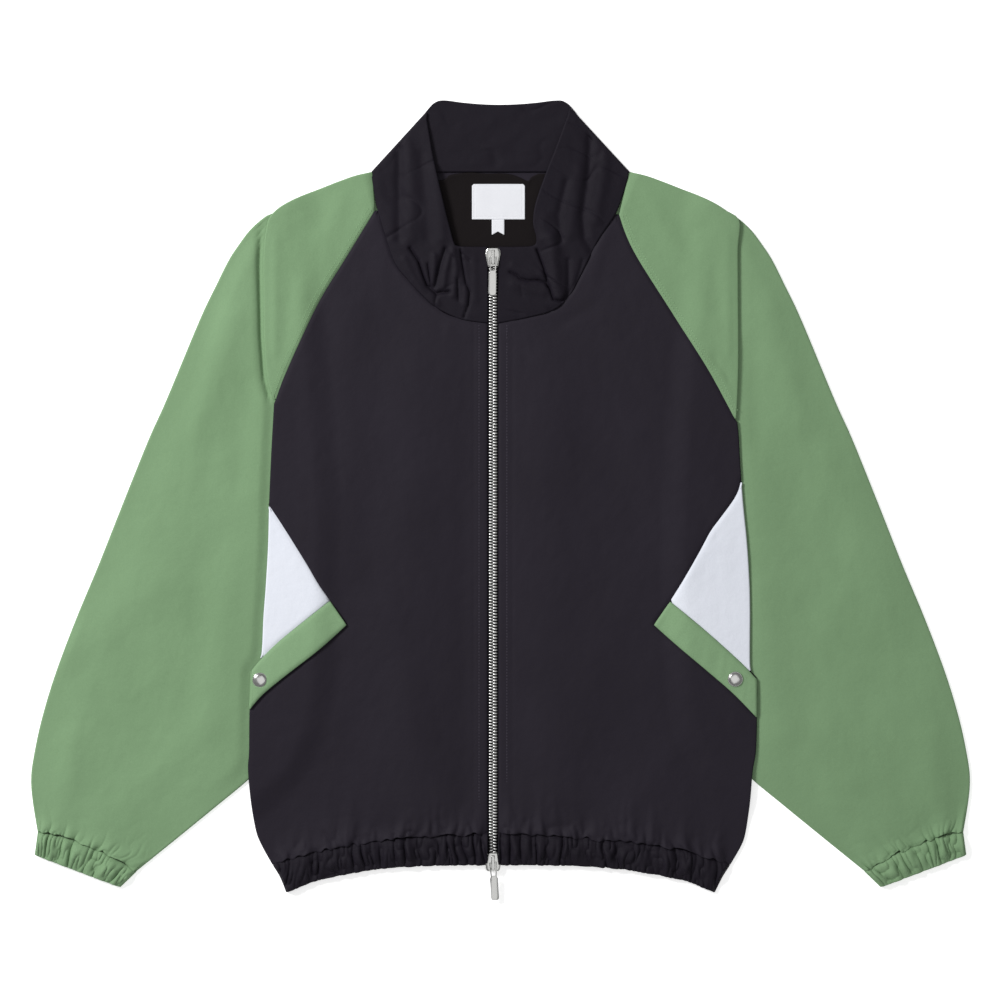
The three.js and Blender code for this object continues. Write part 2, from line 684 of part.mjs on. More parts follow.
// Hem casing as one strip, from the zip round the back to the zip
const hemReach = {
  seam: 227.4, edge: hemEdge[hemEdge.length - 1].out, seamShare: 0.4, settle: 0.6, rise: 0.1,
};
function hemCasing() {
  const rows = 2;
  const backCols = 12;
  const [seamY, edgeY] = [hemSeam, hemEdge].map((border) => (out) => read(border, 'out', Math.abs(out), 'y'));
  return Array.from({ length: rows + 1 }, (_, i) => {
    const t = i / rows;
    const reachOut = lerp(hemReach.seam, hemReach.edge, t);
    const yAt = (out) => lerp(
      seamY(out * (hemSeamEnd / reachOut)) - 3 * seamGap,
      edgeY(out * (hemReach.edge / reachOut)),
      t,
    );
    const height = hemWaveHeight * lerp(hemReach.seamShare, 1, smooth(0, hemReach.settle, t));
    const frontHalf = (side) => {
      const cols = hemWaves[side] * stepsPerWave;
      const stop = reachOut - turnRoom;
      return Array.from({ length: cols + 1 }, (_, j) => {
        const out = lerp(frontEdge[side], stop, j / cols);
        const rise = height * gather(j / cols, hemWaves[side]);
        return place(side, out, yAt(out), overZ(side, out, yAt(out)) + hemReach.rise + rise);
      });
    };
    const sideTurn = (side) => {
      const y = yAt(reachOut);
      const topZ = overZ(side, reachOut, y) + hemReach.rise;
      const edge = new THREE.Vector2(reachOut, y);
      return foldArc(side, edge, outward, topZ, casing / 2, casing, halfTurn.slice(1));
    };
    const back = Array.from({ length: backCols - 1 }, (_, j) => {
      const x = lerp(-reachOut, reachOut, (j + 1) / backCols);
      return new THREE.Vector3(x, yAt(x), casing / 2);
    });
    return [...frontHalf('right'), ...sideTurn('right'), ...back, ...sideTurn('left').reverse(),
      ...frontHalf('left').reverse()];
  });
}

// Collar as one double wall, from the zip round the back neck to the zip
const collarRoom = {
  base: 0.5, shoulder: 0.7, shoulderLift: 2.4, cornerLift: 0.9, turnHigh: 2.9, seamShare: 0.35,
};
function collarHalf(side) {
  const corner = collarCorner[side];
  const shoulderPoint = silhouette[0];
  const shoulderStart = neckSeam[side][0];
  const stations = collarFront[side].map((row) => {
    const seam = neckPoint(side, Math.max(row.seam, cornerShare), -halfGap);
    return { seam, rim: { out: row.rimOut, y: row.rimY }, lift: row.lift };
  });
  const rimStart = stations[stations.length - 1].rim;
  for (let k = 1; k <= shoulderSeamRows; k += 1) {
    const t = k / (shoulderSeamRows + collarRoom.seamShare);
    const between = (from, to) => ({ out: lerp(from.out, to.out, t), y: lerp(from.y, to.y, t) });
    stations.push({
      seam: between(shoulderStart, shoulderPoint),
      rim: between(rimStart, corner),
      lift: lerp(collarRoom.shoulderLift, collarRoom.cornerLift, t),
    });
  }
  return stations;
}

function collar() {
  const halves = Object.fromEntries(sides.map((side) => [side, collarHalf(side)]));
  return Array.from({ length: collarSteps + 1 }, (_, i) => {
    const t = i / collarSteps;
    const front = (side) => halves[side].map(({ seam, rim, lift }, j, all) => {
      const out = lerp(seam.out, rim.out, t);
      const y = lerp(seam.y, rim.y, t);
      const shoulder = collarRoom.shoulder * (j / (all.length - 1));
      const rise = collarRoom.base + shoulder + lift * t + foldHeight(sign[side] * out, y);
      return place(side, out, y, overZ(side, out, y) + rise);
    });
    const sideTurn = (side) => {
      const [neck, corner] = [silhouette[0], collarCorner[side]];
      const edge = new THREE.Vector2(lerp(neck.out, corner.out, t), lerp(neck.y + seamGap, corner.y, t));
      const normal = new THREE.Vector2(corner.y - neck.y, neck.out - corner.out).normalize();
      const low = collarCloth / 2;
      return foldArc(side, edge, normal, low + collarRoom.turnHigh, low, collarCloth, halfTurn);
    };
    const back = [...collarBack].reverse().map((row) => new THREE.Vector3(
      lerp(row.out, row.rimOut, t), lerp(row.seamY, row.rimY, t), collarCloth / 2));
    return [...front('right'), ...sideTurn('right'), ...back, ...sideTurn('left').reverse(),
      ...front('left').reverse()];
  });
}

// Back neck lining with its loose top edge, label and size tab
const liningLow = 1.8;
const liningSpan = { out: 88, top: 327, bottom: 238, wave: 2.2, waveLength: 17, wavePhase: 0.6 };
function backLining() {
  const [rows, cols] = [5, 14];
  const { out, top, bottom, wave, waveLength, wavePhase } = liningSpan;
  return Array.from({ length: rows + 1 }, (_, i) => Array.from({ length: cols + 1 }, (_unused, j) => {
    const x = lerp(-out, out, j / cols);
    const loose = (1 - i / rows) * wave * Math.sin(x / waveLength + wavePhase);
    return new THREE.Vector3(x, lerp(top, bottom, i / rows) + loose, liningLow);
  }));
}

const labelThick = 0.6;
const labelZ = liningLow + cloth / 2 + seamGap + labelThick / 2;
const label = { left: -28.3, right: 24.2, top: 316, bottom: 281 };
const sizeTab = { left: -8.5, right: 3.6, top: 280.6, bottom: 265.5, notch: 3.4 };

function flatPiece(corners) {
  const shape = new THREE.Shape(corners.map(([x, y]) => new THREE.Vector2(x, y)));
  const geometry = new THREE.ExtrudeGeometry(shape, { depth: labelThick, bevelEnabled: false });
  return geometry.translate(0, 0, labelZ - labelThick / 2);
}

// Zip: everything follows the height of the front edges
function zipZ(y) {
  const rise = THREE.MathUtils.clamp((y - neckY) / (collarTopY - neckY), 0, 1);
  return overZ('right', -zipX, y) + collarRise * rise;
}

const zipStations = [225, 200, neckY, 0, hemSeamY];
function zipStrip(fromX, toX, topY, bottomY, drop) {
  const heights = [topY, ...zipStations, bottomY];
  return heights.map((y) => [fromX, toX].map((x) => new THREE.Vector3(x, y, zipZ(y) - drop)));
}

const slider = {
  length: 18, wide: 15, narrow: 10, topPlate: 1.0, lowPlate: 0.9, clearance: 1.8, post: 4, postWidth: 3,
  bridgeWidth: 3, bridgeLength: 14, bridgeRoom: 2.8, bridgeThick: 1.1, bridgeFoot: 1.6, sink: 0.2,
};
const pull = {
  length: 38, loop: 15, thick: 1.2, bar: 1.2, loopHalf: 4, roomHalf: 2.8, tabHalf: 3.9, corner: 3, tilt: 4.5,
};
const pullHinge = slider.clearance + slider.topPlate + slider.bridgeRoom / 2;
const sliders = {
  top: { wideY: 251.7, hingeY: 242.5, swing: -1.2 },
  bottom: { wideY: -370, hingeY: -361.3, swing: 3.4 },
};

function block(width, length, low, high, y) {
  return new THREE.BoxGeometry(width, length, high - low).translate(0, y, (low + high) / 2);
}

// Slider plate, its wide end at y = 0 and its narrow end at the slider's length
function plate(low, high) {
  const [wide, narrow] = [slider.wide / 2, slider.narrow / 2];
  const shape = new THREE.Shape();
  shape.moveTo(-narrow, slider.length);
  shape.lineTo(-wide, slider.length * 0.35);
  shape.quadraticCurveTo(-wide, 0, -wide * 0.5, 0);
  shape.lineTo(wide * 0.5, 0);
  shape.quadraticCurveTo(wide, 0, wide, slider.length * 0.35);
  shape.lineTo(narrow, slider.length);
  const depth = high - low;
  const geometry = new THREE.ExtrudeGeometry(shape, { depth, bevelEnabled: false, curveSegments: 4 });
  return geometry.translate(0, 0, low);
}

const wasm = await Module();
wasm.setup();

function solid(geometry) {
  const bare = geometry.clone();
  bare.deleteAttribute('normal');
  bare.deleteAttribute('uv');
  const merged = mergeVertices(bare, 1e-4);
  const vertProperties = new Float32Array(merged.attributes.position.array);
  const triVerts = new Uint32Array(merged.index.array);
  return new wasm.Manifold(new wasm.Mesh({ numProp: 3, vertProperties, triVerts }));
}

function joined(pieces) {
  const mesh = pieces.map(solid).reduce((sum, piece) => sum.add(piece)).getMesh();
  return closed([...mesh.vertProperties], [...mesh.triVerts]);
}

// Slider: two plates, the post between them and the bridge that holds the pull tab
function sliderBody(hingeAt) {
  const { clearance, topPlate, lowPlate, post, postWidth, bridgeFoot, sink } = slider;
  const { bridgeWidth, bridgeLength, bridgeRoom, bridgeThick } = slider;
  const plateTop = clearance + topPlate;
  const bridgeTop = plateTop + bridgeRoom + bridgeThick;
  const footAt = bridgeLength / 2 - bridgeFoot / 2;
  return joined([
    plate(clearance, plateTop),
    plate(-clearance - lowPlate, -clearance),
    block(postWidth, post, -clearance - sink, clearance + sink, post / 2 + 1),
    block(bridgeWidth, bridgeFoot, plateTop - sink, bridgeTop, hingeAt - footAt),
    block(bridgeWidth, bridgeFoot, plateTop - sink, bridgeTop, hingeAt + footAt),
    block(bridgeWidth, bridgeLength, bridgeTop - bridgeThick, bridgeTop, hingeAt),
  ]);
}

// Pull tab with its loop, the hinge bar centred on the origin and the tab toward -Y
function pullTab() {
  const { length, loop, thick, bar, loopHalf, roomHalf, tabHalf, corner } = pull;
  const shape = new THREE.Shape();
  shape.moveTo(-loopHalf, bar / 2);
  shape.lineTo(loopHalf, bar / 2);
  shape.lineTo(loopHalf * 0.75, -loop + 1);
  shape.lineTo(tabHalf, -loop - 1);
  shape.lineTo(tabHalf, -length + corner);
  shape.quadraticCurveTo(tabHalf, -length, 0, -length);
  shape.quadraticCurveTo(-tabHalf, -length, -tabHalf, -length + corner);
  shape.lineTo(-tabHalf, -loop - 1);
  shape.lineTo(-loopHalf * 0.75, -loop + 1);
  const room = new THREE.Path();
  room.moveTo(-roomHalf, -bar / 2);
  room.lineTo(-roomHalf * 0.62, -loop + 2);
  room.lineTo(roomHalf * 0.62, -loop + 2);
  room.lineTo(roomHalf, -bar / 2);
  shape.holes.push(room);
  const geometry = new THREE.ExtrudeGeometry(shape, { depth: thick, bevelEnabled: false, curveSegments: 4 });
  return geometry.translate(0, 0, -thick / 2);
}

// Domed snap cap with a rolled rim
const snap = { radius: 7.5, rim: 1.1, dome: 2.2, rise: 0.5, steps: 16 };
function snapCap() {
  const { radius, rim, dome } = snap;
  const profile = [
    [0, 0], [radius - 0.6, 0], [radius, 0.5], [radius - 0.2, rim], [radius - 1.1, rim + 0.3],
    [radius - 1.7, rim], [radius * 0.6, dome - 0.3], [radius * 0.3, dome], [0, dome + 0.05],
  ];
  const points = profile.map(([r, z]) => new THREE.Vector2(r, z));
  return new THREE.LatheGeometry(points, snap.steps).rotateX(Math.PI / 2);
}

for (const side of sides) {
  add(`front_${side}`, wall(frontPanel(side), cloth), colours.black);
  add(`shoulder_${side}`, wall(shoulderPanel(side), cloth), colours.green);
  add(`sleeve_${side}`, wall(sleeve(side), cloth, true), colours.green);
  add(`cuff_${side}`, wall(cuff(side), casing, true), colours.green);
  add(`side_insert_${side}`, wall(sideInsert(side), cloth), colours.white);
  add(`pocket_welt_${side}`, wall(pocketWelt(side), 2 * cloth), colours.green);
  const { out, y } = snapSpot[side];
  const cap = add(`snap_${side}`, snapCap(), colours.silver, 1);
  cap.position.set(sign[side] * out, y, overZ(side, out, y) + snap.rise + cloth + seamGap);
}
add('back', wall(backPanel(), cloth), colours.black);
add('hem_casing', wall(hemCasing(), casing), colours.black);
add('collar', wall(collar(), collarCloth), colours.black);
add('back_lining', wall(backLining(), cloth), colours.lining);
add('neck_label', flatPiece([
  [label.left, label.bottom], [label.right, label.bottom], [label.right, label.top], [label.left, label.top],
]), colours.white);
add('size_tab', flatPiece([
  [sizeTab.left, sizeTab.top], [sizeTab.left, sizeTab.bottom],
  [(sizeTab.left + sizeTab.right) / 2, sizeTab.bottom + sizeTab.notch],
  [sizeTab.right, sizeTab.bottom], [sizeTab.right, sizeTab.top],
]), colours.white);

const chainEdge = chainWidth / 2;
const tapeEdge = chainEdge + seamGap;
const tape = { topY: collarTopY - 2, bottomY: -361 };
const chain = zipStrip(zipX - chainEdge, zipX + chainEdge, chainTopY, chainBottomY, 0);
add('zip_chain', wall(chain, chainThick), colours.silver, 1);
for (const side of sides) {
  const edges = [zipX + sign[side] * tapeEdge, zipX + sign[side] * (tapeEdge + tapeWidth)];
  const strip = zipStrip(Math.min(...edges), Math.max(...edges), tape.topY, tape.bottomY, tapeDrop);
  add(`zip_tape_${side}`, wall(strip, tapeThick), colours.tape);
}

for (const [name, { wideY, hingeY, swing }] of Object.entries(sliders)) {
  const facing = Math.sign(hingeY - wideY);
  const height = zipZ(hingeY);
  const body = add(`slider_${name}`, sliderBody(Math.abs(hingeY - wideY)), colours.silver, 1);
  body.position.set(zipX, wideY, height);
  body.rotation.z = facing < 0 ? Math.PI : 0;
  const tab = add(`pull_${name}`, pullTab(), colours.silver, 1);
  tab.position.set(zipX, hingeY, height + pullHinge);
  const degree = Math.PI / 180;
  tab.rotation.set(pull.tilt * degree, 0, swing * degree, 'ZYX');
}

export default jacket;
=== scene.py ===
import math

import bmesh
import bpy
import numpy as np
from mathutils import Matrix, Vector


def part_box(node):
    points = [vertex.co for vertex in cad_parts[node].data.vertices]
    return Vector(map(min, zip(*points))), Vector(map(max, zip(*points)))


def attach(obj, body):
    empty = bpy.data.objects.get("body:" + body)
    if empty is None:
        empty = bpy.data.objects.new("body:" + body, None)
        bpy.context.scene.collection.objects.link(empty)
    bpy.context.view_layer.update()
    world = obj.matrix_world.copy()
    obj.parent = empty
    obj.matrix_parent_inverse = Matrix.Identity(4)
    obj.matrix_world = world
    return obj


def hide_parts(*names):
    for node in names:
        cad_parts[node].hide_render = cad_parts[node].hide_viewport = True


# Zipped track jacket laid flat: cloth shells, gathers, zip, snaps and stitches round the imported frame
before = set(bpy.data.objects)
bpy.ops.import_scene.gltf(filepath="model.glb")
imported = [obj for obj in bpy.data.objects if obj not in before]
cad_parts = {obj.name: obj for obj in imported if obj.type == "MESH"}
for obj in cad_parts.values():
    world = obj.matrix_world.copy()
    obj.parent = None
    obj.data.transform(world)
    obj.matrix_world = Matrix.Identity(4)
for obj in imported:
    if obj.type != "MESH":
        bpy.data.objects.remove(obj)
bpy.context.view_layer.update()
mm = 0.001  # tables below are in millimetres, meshes in metres
sides = ["right", "left"]  # the wearer's
sign = {"right": -1, "left": 1}
print("frame loaded:", len(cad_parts), "nodes")

layers = {
    "cloth": 0.9, "casing": 1.2, "step": 2.2, "bodyPuff": 1.6, "sleevePuff": 1.4,
    "puffReach": 80, "rampStart": 42, "rampEnd": 12, "floorLayer": 0.5, "seamGap": 0.3,
}
halfGap = layers["seamGap"] / 2
foldSeam = 0.3  # how far short of the side's middle the front and the back stop, in radians
zipLine = {"x": -7.5, "edge": 5.7, "neckY": 177.5, "topY": 252.5, "rise": 2.4, "hemY": -333}
frontEdge = {"right": -zipLine["x"] + zipLine["edge"], "left": zipLine["x"] + zipLine["edge"]}

# Outer edge from the neck point over the shoulder to the cuff: out from the centre line, y
silhouette = [
    (128.8, 328.5), (145.5, 324.7), (162.7, 318.6), (180, 311.8), (197.5, 304.9), (214.5, 296.5),
    (231.6, 285.9), (248.8, 272.1), (260.9, 256.6), (271.5, 240.5), (283.5, 216.5), (300.5, 180.9),
    (334, 100.5), (351.5, 61.5), (376.5, -0.5), (401.8, -64.5), (424.7, -119.5), (445.5, -175),
    (459.2, -221), (467.2, -259.5), (469.2, -279.2), (467.6, -300.5), (462.5, -331.5),
]
shoulderRows = 6
sleeveTop = (220, 286)
sleeveInner = [
    (226, 276), (216, 190), (206, 98), (200, 0), (200, -100), (206, -200), (226, -252),
    (252, -279), (282, -304), (320, -335), (364.5, -371),
]
# Side edge of the body: y, out on the wearer's right, out on the left
sideEdge = [
    (99, 226, 237.3), (80.5, 227, 236.4), (63, 228, 238), (40, 229.2, 239.2), (0, 230.9, 242),
    (-43, 232, 246.2), (-83, 234.2, 248.6), (-115, 236.6, 249.2), (-159, 239.5, 249),
    (-171, 249.3, 250.5), (-179, 249.6, 256), (-217, 250.7, 256), (-250, 251, 255),
    (-270, 252, 251.8), (-303, 249, 249), (-329, 244.7, 245.5), (-343, 239.5, 241.5),
    (-362, 229, 230.8), (-376, 220.5, 222), (-391, 214.4, 214.4),
]
crease = {  # out, y
    "right": [(232.2, 278.5), (236.5, 250), (236.8, 213), (236, 160), (233, 122), (226.4, 100.5)],
    "left": [(238.5, 279), (237.2, 250), (237.4, 213), (237.8, 144), (237, 110), (235.6, 82)],
}
shoulderTip = {"right": (225, 289), "left": (226, 289)}
raglanSeam = {  # out, y
    "right": [(123.5, 293), (152.5, 245.5), (180, 200.7), (199, 161), (216, 123), (224.6, 99.5)],
    "left": [(117, 290), (132.2, 250.6), (171.8, 186.9), (192.5, 154.2), (211.5, 123.2), (234, 81)],
}
neckSeam = {  # out, y
    "right": [(123.5, 293), (116.5, 270.5), (106.5, 239.5), (92.5, 220.5), (80.5, 207.5),
              (67.5, 195.5), (52.5, 185.5), (30.5, 179.5), (13.2, 177.5)],
    "left": [(117, 290), (101.5, 267.5), (89.5, 244.5), (78, 221.5), (72.5, 209.5), (62.5, 198.5),
             (52.5, 190.5), (33.5, 184.5), (-1.8, 177.5)],
}
insertEdge = {  # y, out
    "right": [(-4.2, 231.3), (-22.5, 219), (-45, 204.7), (-65.6, 192), (-84.8, 180.8), (-100.4, 170)],
    "left": [(20, 240), (5.5, 235.3), (-12.8, 222.8), (-29.5, 210.3), (-49.5, 199.3), (-69.5, 188),
             (-86.2, 178.2), (-101, 169)],
}
weltTop = {  # y, out
    "right": [(-100.4, 170), (-121.5, 197), (-141.5, 221.6), (-159, 239.5), (-171, 249.3)],
    "left": [(-101, 169), (-126, 199.5), (-147, 223.5), (-165, 243), (-179, 256)],
}
weltBottom = {  # y, out
    "right": [(-124, 153.6), (-148.5, 180.8), (-173.3, 212.7), (-193, 236.6), (-209, 250.6)],
    "left": [(-124, 153.2), (-144, 175.5), (-171, 207.5), (-193, 232.7), (-217, 256)],
}
insertEnd = {"right": -157, "left": -169.5}
collarCorner = {"right": (75.2, 387.5), "left": (70.5, 392)}
hemSeam = [(0, -333), (50, -334), (80, -336), (110, -339), (140, -342.5), (168, -347),
           (190, -351.5), (210, -357), (228, -363.5)]  # out, y
hemEdge = [(0, -363.4), (47, -363.6), (90, -365), (124, -368), (160, -374), (186, -380),
           (202, -386), (214.4, -391)]  # out, y
backNeck = (85, 329.5)
cornerShare = 0.02

# Broad rises and hollows of the cloth seen in the light: from, to, half width, height
folds = [
    # fronts
    (-88, 120, -92, -290, 34, 2.4), (46, 130, 52, -290, 30, 2.2), (-150, 190, -158, -60, 22, 1.3),
    (-120, -110, -60, -300, 20, 1.0), (140, 60, 176, -60, 20, 1.0), (110, -120, 60, -300, 20, 0.9),
    (-34, 150, -34, -300, 12, -0.8), (-170, -230, -120, -310, 14, 0.8), (180, -240, 120, -320, 14, 0.8),
    (6, 166, 26, 158, 4, 0.8), (7, 157, 24, 150, 4, -0.6), (4, 148, 18, 143, 4, 0.5),
    (-24, 168, -52, 172, 6, 0.5), (60, 176, 96, 196, 7, -0.7), (92, 228, 104, 262, 7, 0.7),
    (-160, 300, -186, 214, 10, 0.9), (-205, 286, -214, 160, 9, -0.9), (-226, 262, -226, 150, 6, 0.9),
    # shoulder panels
    (-184, 268, -200, 190, 8, 0.6), (150, 300, 186, 232, 10, 0.8), (206, 286, 214, 190, 9, -0.8),
    (228, 262, 229, 150, 6, 0.8), (219, 128, 233, 104, 4, 0.7), (214, 142, 228, 118, 4, -0.6),
]
sleeveFolds = [
    (-268, 180, -303, 66, 15, 2.2), (-252, 116, -262, 20, 13, -1.4), (-300, -40, -268, 40, 20, 1.2),
    (-440, -146, -330, -88, 24, 1.5), (-400, -330, -300, -230, 20, 1.5), (-440, -325, -425, -240, 14, 1.2),
    (-296, 44, -344, -84, 24, 1.5), (-270, -60, -290, -220, 16, 1.2), (-352, -250, -412, -170, 16, -1.0),
    (250, 150, 256, 60, 12, -1.3), (268, 190, 300, 80, 16, 1.6), (268, -40, 250, 55, 20, 1.0),
    (425, -190, 330, -140, 24, 1.2), (395, -330, 290, -235, 20, 1.5), (440, -325, 428, -240, 14, 1.2),
    (330, 40, 384, -90, 24, 1.2), (262, -90, 276, -230, 18, 1.5),
]
collarFolds = [  # points along the fold, half width, height
    ([(-92, 355), (-88, 300), (-90, 262)], 7, 1.6), ([(-101, 350), (-101, 300), (-101, 262)], 5, -2.2),
    ([(-78, 345), (-75, 300), (-72, 262)], 6, -1.1), ([(-66, 330), (-60, 290), (-58, 262)], 6, 1.6),
    ([(-90.5, 252), (-82, 239.5), (-76.5, 223), (-73, 214.5), (-64.5, 207), (-51.5, 208.5)], 1.7, -3.4),
    ([(-96, 240), (-86, 220), (-76, 205), (-64, 197)], 4, 1.3), ([(-66, 244), (-66.5, 218)], 3, 1.6),
    ([(-72.5, 236), (-71, 224), (-69.5, 214)], 1.3, -1.8),
    ([(-55, 251), (-61.7, 229.5), (-65.5, 214)], 2.6, -2.6), ([(-50, 246), (-55, 228), (-57, 212)], 2.6, 1.2),
    ([(-47, 250), (-44, 232), (-47, 205)], 3, 1.6),
    ([(-40, 250), (-37.5, 233), (-34.5, 217), (-30.5, 208), (-31.7, 195.5), (-36.5, 183)], 1.3, -2.2),
    ([(-43, 221), (-41.7, 200)], 1.5, -1.5), ([(-38.5, 247), (-30.5, 239.5)], 1.2, -1.2),
    ([(-35, 212), (-36, 196)], 2.2, 1.0), ([(-26, 240), (-25, 200)], 4, 0.7),
    ([(90, 366), (88, 328), (82, 284), (84, 262), (91, 250)], 4.5, -2.4),
    ([(104, 350), (102, 318), (95, 280)], 6, 1.6), ([(66, 318), (58, 286), (60, 262)], 4, -1.6),
    ([(44, 282), (42, 262)], 6, 1.2), ([(78, 330), (74, 296), (70, 266)], 6, 1.0),
    ([(50, 262), (52.5, 245.5), (54, 232), (56, 214.5), (58, 205)], 7, 3.2),
    ([(36.5, 250), (38.3, 245.5), (43.3, 231.7), (46.4, 220.5), (49.5, 210.5), (53, 200.5), (60.5, 198.8),
      (66.5, 203)], 1.5, -3.0),
    ([(68, 240), (68, 214), (66, 203)], 3, -1.6), ([(82, 240), (76, 218), (66, 203)], 2.2, -1.0),
    ([(9.5, 228), (17, 224.5), (19.5, 221.5), (28.3, 219.5), (38.3, 219.9), (44.5, 218),
      (47.5, 213)], 1.4, -2.6),
    ([(12, 234), (22, 229), (32, 226), (40, 226)], 4, 1.2), ([(12, 216), (28, 211), (42, 208)], 5, 1.4),
    ([(20, 214), (22, 204)], 1.6, -0.5),
]


def lerp(a, b, t):
    return a + (b - a) * t


def smooth(start, stop, value):
    t = np.clip((np.asarray(value, float) - start) / (stop - start), 0, 1)
    return t * t * (3 - 2 * t)


def hump(away, reach):
    return np.exp(-(away / reach) ** 2)


def unit(v):
    return v / max(np.linalg.norm(v), 1e-9)


def turned(x, y, angle):
    c, s = math.cos(math.radians(angle)), math.sin(math.radians(angle))
    return x * c + y * s, y * c - x * s


def runAlong(grid, axis):  # length run so far
    steps = np.linalg.norm(np.diff(grid, axis=axis), axis=-1)
    return np.cumsum(np.insert(steps, 0, 0, axis), axis)


def spread(rows, per):  # smooth rows between table rows
    rows = np.asarray(rows, float)
    ends = np.vstack([rows[:1], rows, rows[-1:]])
    t = np.arange(per)[:, None] / per
    made = []
    for a, b, c, d in zip(ends[:-3], ends[1:-2], ends[2:-1], ends[3:]):
        v, w = (c - a) / 2, (d - b) / 2
        made.append((2 * b - 2 * c + v + w) * t ** 3 + (-3 * b + 3 * c - 2 * v - w) * t ** 2 + v * t + b)
    return np.vstack(made + [rows[-1:]])


class PlanCurve:  # smooth curve through table rows, read by its share of length
    def __init__(self, rows):
        self.points = spread(rows, 24)
        self.length = runAlong(self.points, 0)

    def at(self, share):
        reach = np.asarray(share, float) * self.length[-1]
        return np.stack([np.interp(reach, self.length, self.points[:, k]) for k in (0, 1)], -1)

    def tangent(self, share):
        share = np.asarray(share, float)
        way = self.at(np.minimum(share + 0.004, 1)) - self.at(np.maximum(share - 0.004, 0))
        return way / np.linalg.norm(way, axis=-1, keepdims=True)

    def read(self, value):  # the second column at a value of the first
        order = np.argsort(self.points[:, 0])
        return np.interp(value, self.points[order, 0], self.points[order, 1])


shoulderPath = {
    s: PlanCurve(silhouette[:shoulderRows] + [shoulderTip[s]] + crease[s]) for s in sides}
outerPath = PlanCurve([sleeveTop] + silhouette[shoulderRows:])
innerPath = PlanCurve(sleeveInner)
raglanPath, neckPath, insertPath, weltTopPath, weltBottomPath = (
    {s: PlanCurve(table[s]) for s in sides}
    for table in (raglanSeam, neckSeam, insertEdge, weltTop, weltBottom))
sidePath = {s: PlanCurve([(row[0], row[k]) for row in sideEdge]) for k, s in enumerate(sides, 1)}
hemSeamPath, hemEdgePath = PlanCurve(hemSeam), PlanCurve(hemEdge)
shares = np.linspace(0, 1, 61)
sleeveOutline = np.vstack([outerPath.at(shares), innerPath.at(shares)[::-1], outerPath.at(0)])
foldLine = {  # the body's outer edge: up the side, over the shoulder, up the collar
    s: np.vstack([[(row[k], row[0]) for row in sideEdge[:0:-1]],
                  shoulderPath[s].at(shares)[::-1], [collarCorner[s]]])
    for k, s in enumerate(sides, 1)}


def lineDistance(x, y, line):  # nearest distance, and how far along the line that is
    best, along, run = np.full(np.shape(x), 1e9), np.zeros(np.shape(x)), 0.0
    for a, b in zip(line[:-1], line[1:]):
        dx, dy = b[0] - a[0], b[1] - a[1]
        size = math.hypot(dx, dy)
        if size < 1e-5:
            continue
        t = np.clip(((x - a[0]) * dx + (y - a[1]) * dy) / size ** 2, 0, 1)
        away = np.hypot(x - a[0] - t * dx, y - a[1] - t * dy)
        along = np.where(away < best, run + t * size, along)
        best = np.minimum(best, away)
        run += size
    return best, along


def insideOf(x, y, outline):
    odd = np.zeros(np.shape(x), bool)
    for a, b in zip(outline[:-1], outline[1:]):
        if a[1] != b[1]:
            crosses = (a[1] > y) != (b[1] > y)
            odd ^= crosses & (x < a[0] + (b[0] - a[0]) * (y - a[1]) / (b[1] - a[1]))
    return odd


def noise(x, y, scale, seed, stretch=1.0, angle=0.0):  # smooth noise, about -1 to 1
    u, v = turned(x, y, angle)
    u, v = u / scale + 500.3, v / (scale * stretch) + 500.7
    lattice = np.random.RandomState(seed).uniform(-1, 1, (64, 64))
    i, j = np.floor(u).astype(int), np.floor(v).astype(int)
    fu, fv = smooth(0, 1, u - i), smooth(0, 1, v - j)
    corner = lambda a, b: lattice[(i + a) % 64, (j + b) % 64]
    low = lerp(corner(0, 0), corner(1, 0), fu)
    return lerp(low, lerp(corner(0, 1), corner(1, 1), fu), fv)


def creased(x, y, table):
    return sum(rise * hump(lineDistance(x, y, line)[0], width) for line, width, rise in table)


def strokes(x, y, table):
    return creased(x, y, [((row[:2], row[2:4]), row[4], row[5]) for row in table])


def sleeveLift(out, y):  # height added where two sleeve layers lie below the body
    inside = insideOf(out, y, sleeveOutline)
    away = np.where(inside, 0, lineDistance(out, y, sleeveOutline)[0])
    return 2 * layers["step"] * (1 - smooth(layers["rampEnd"], layers["rampStart"], away))


def underZ(out, y):
    out, y = np.broadcast_arrays(np.asarray(out, float), np.asarray(y, float))
    return layers["floorLayer"] + sleeveLift(out, y)


def relief(x, y, edgeAway):  # soft unevenness of the body cloth, none at its edges and the zip
    room = smooth(0, 26, edgeAway) * smooth(4, 34, np.abs(x - zipLine["x"]))
    rough = (0.55 * noise(x, y, 70, 3, 1.8, 20) + 0.3 * noise(x, y, 34, 4, 2.2, -30)
             + 0.24 * noise(x, y, 15, 5, 2.0, 40) + 0.13 * noise(x, y, 7, 6, 1.6, -20))
    return room * rough + smooth(0, 14, edgeAway) * strokes(x, y, folds)


def overZ(side, out, y, soft=True):
    out, y = np.broadcast_arrays(np.asarray(out, float), np.asarray(y, float))
    away = lineDistance(out, y, foldLine[side])[0]
    flat = underZ(out, y) + layers["step"]
    flat = flat + layers["bodyPuff"] * smooth(0, layers["puffReach"], away)
    return flat + relief(sign[side] * out, y, away) if soft else flat


def levels(side, out, y, soft=True):
    return float(overZ(side, out, y, soft)), float(underZ(out, y))


def fineCreases(x, y, seed, angle):  # thin lines where the cloth was once folded, here and there
    line = hump(noise(x, y, 24, seed, 1.7, angle), 0.09)
    return -line * np.clip(noise(x, y, 20, seed + 1) + 0.3, 0, 1)


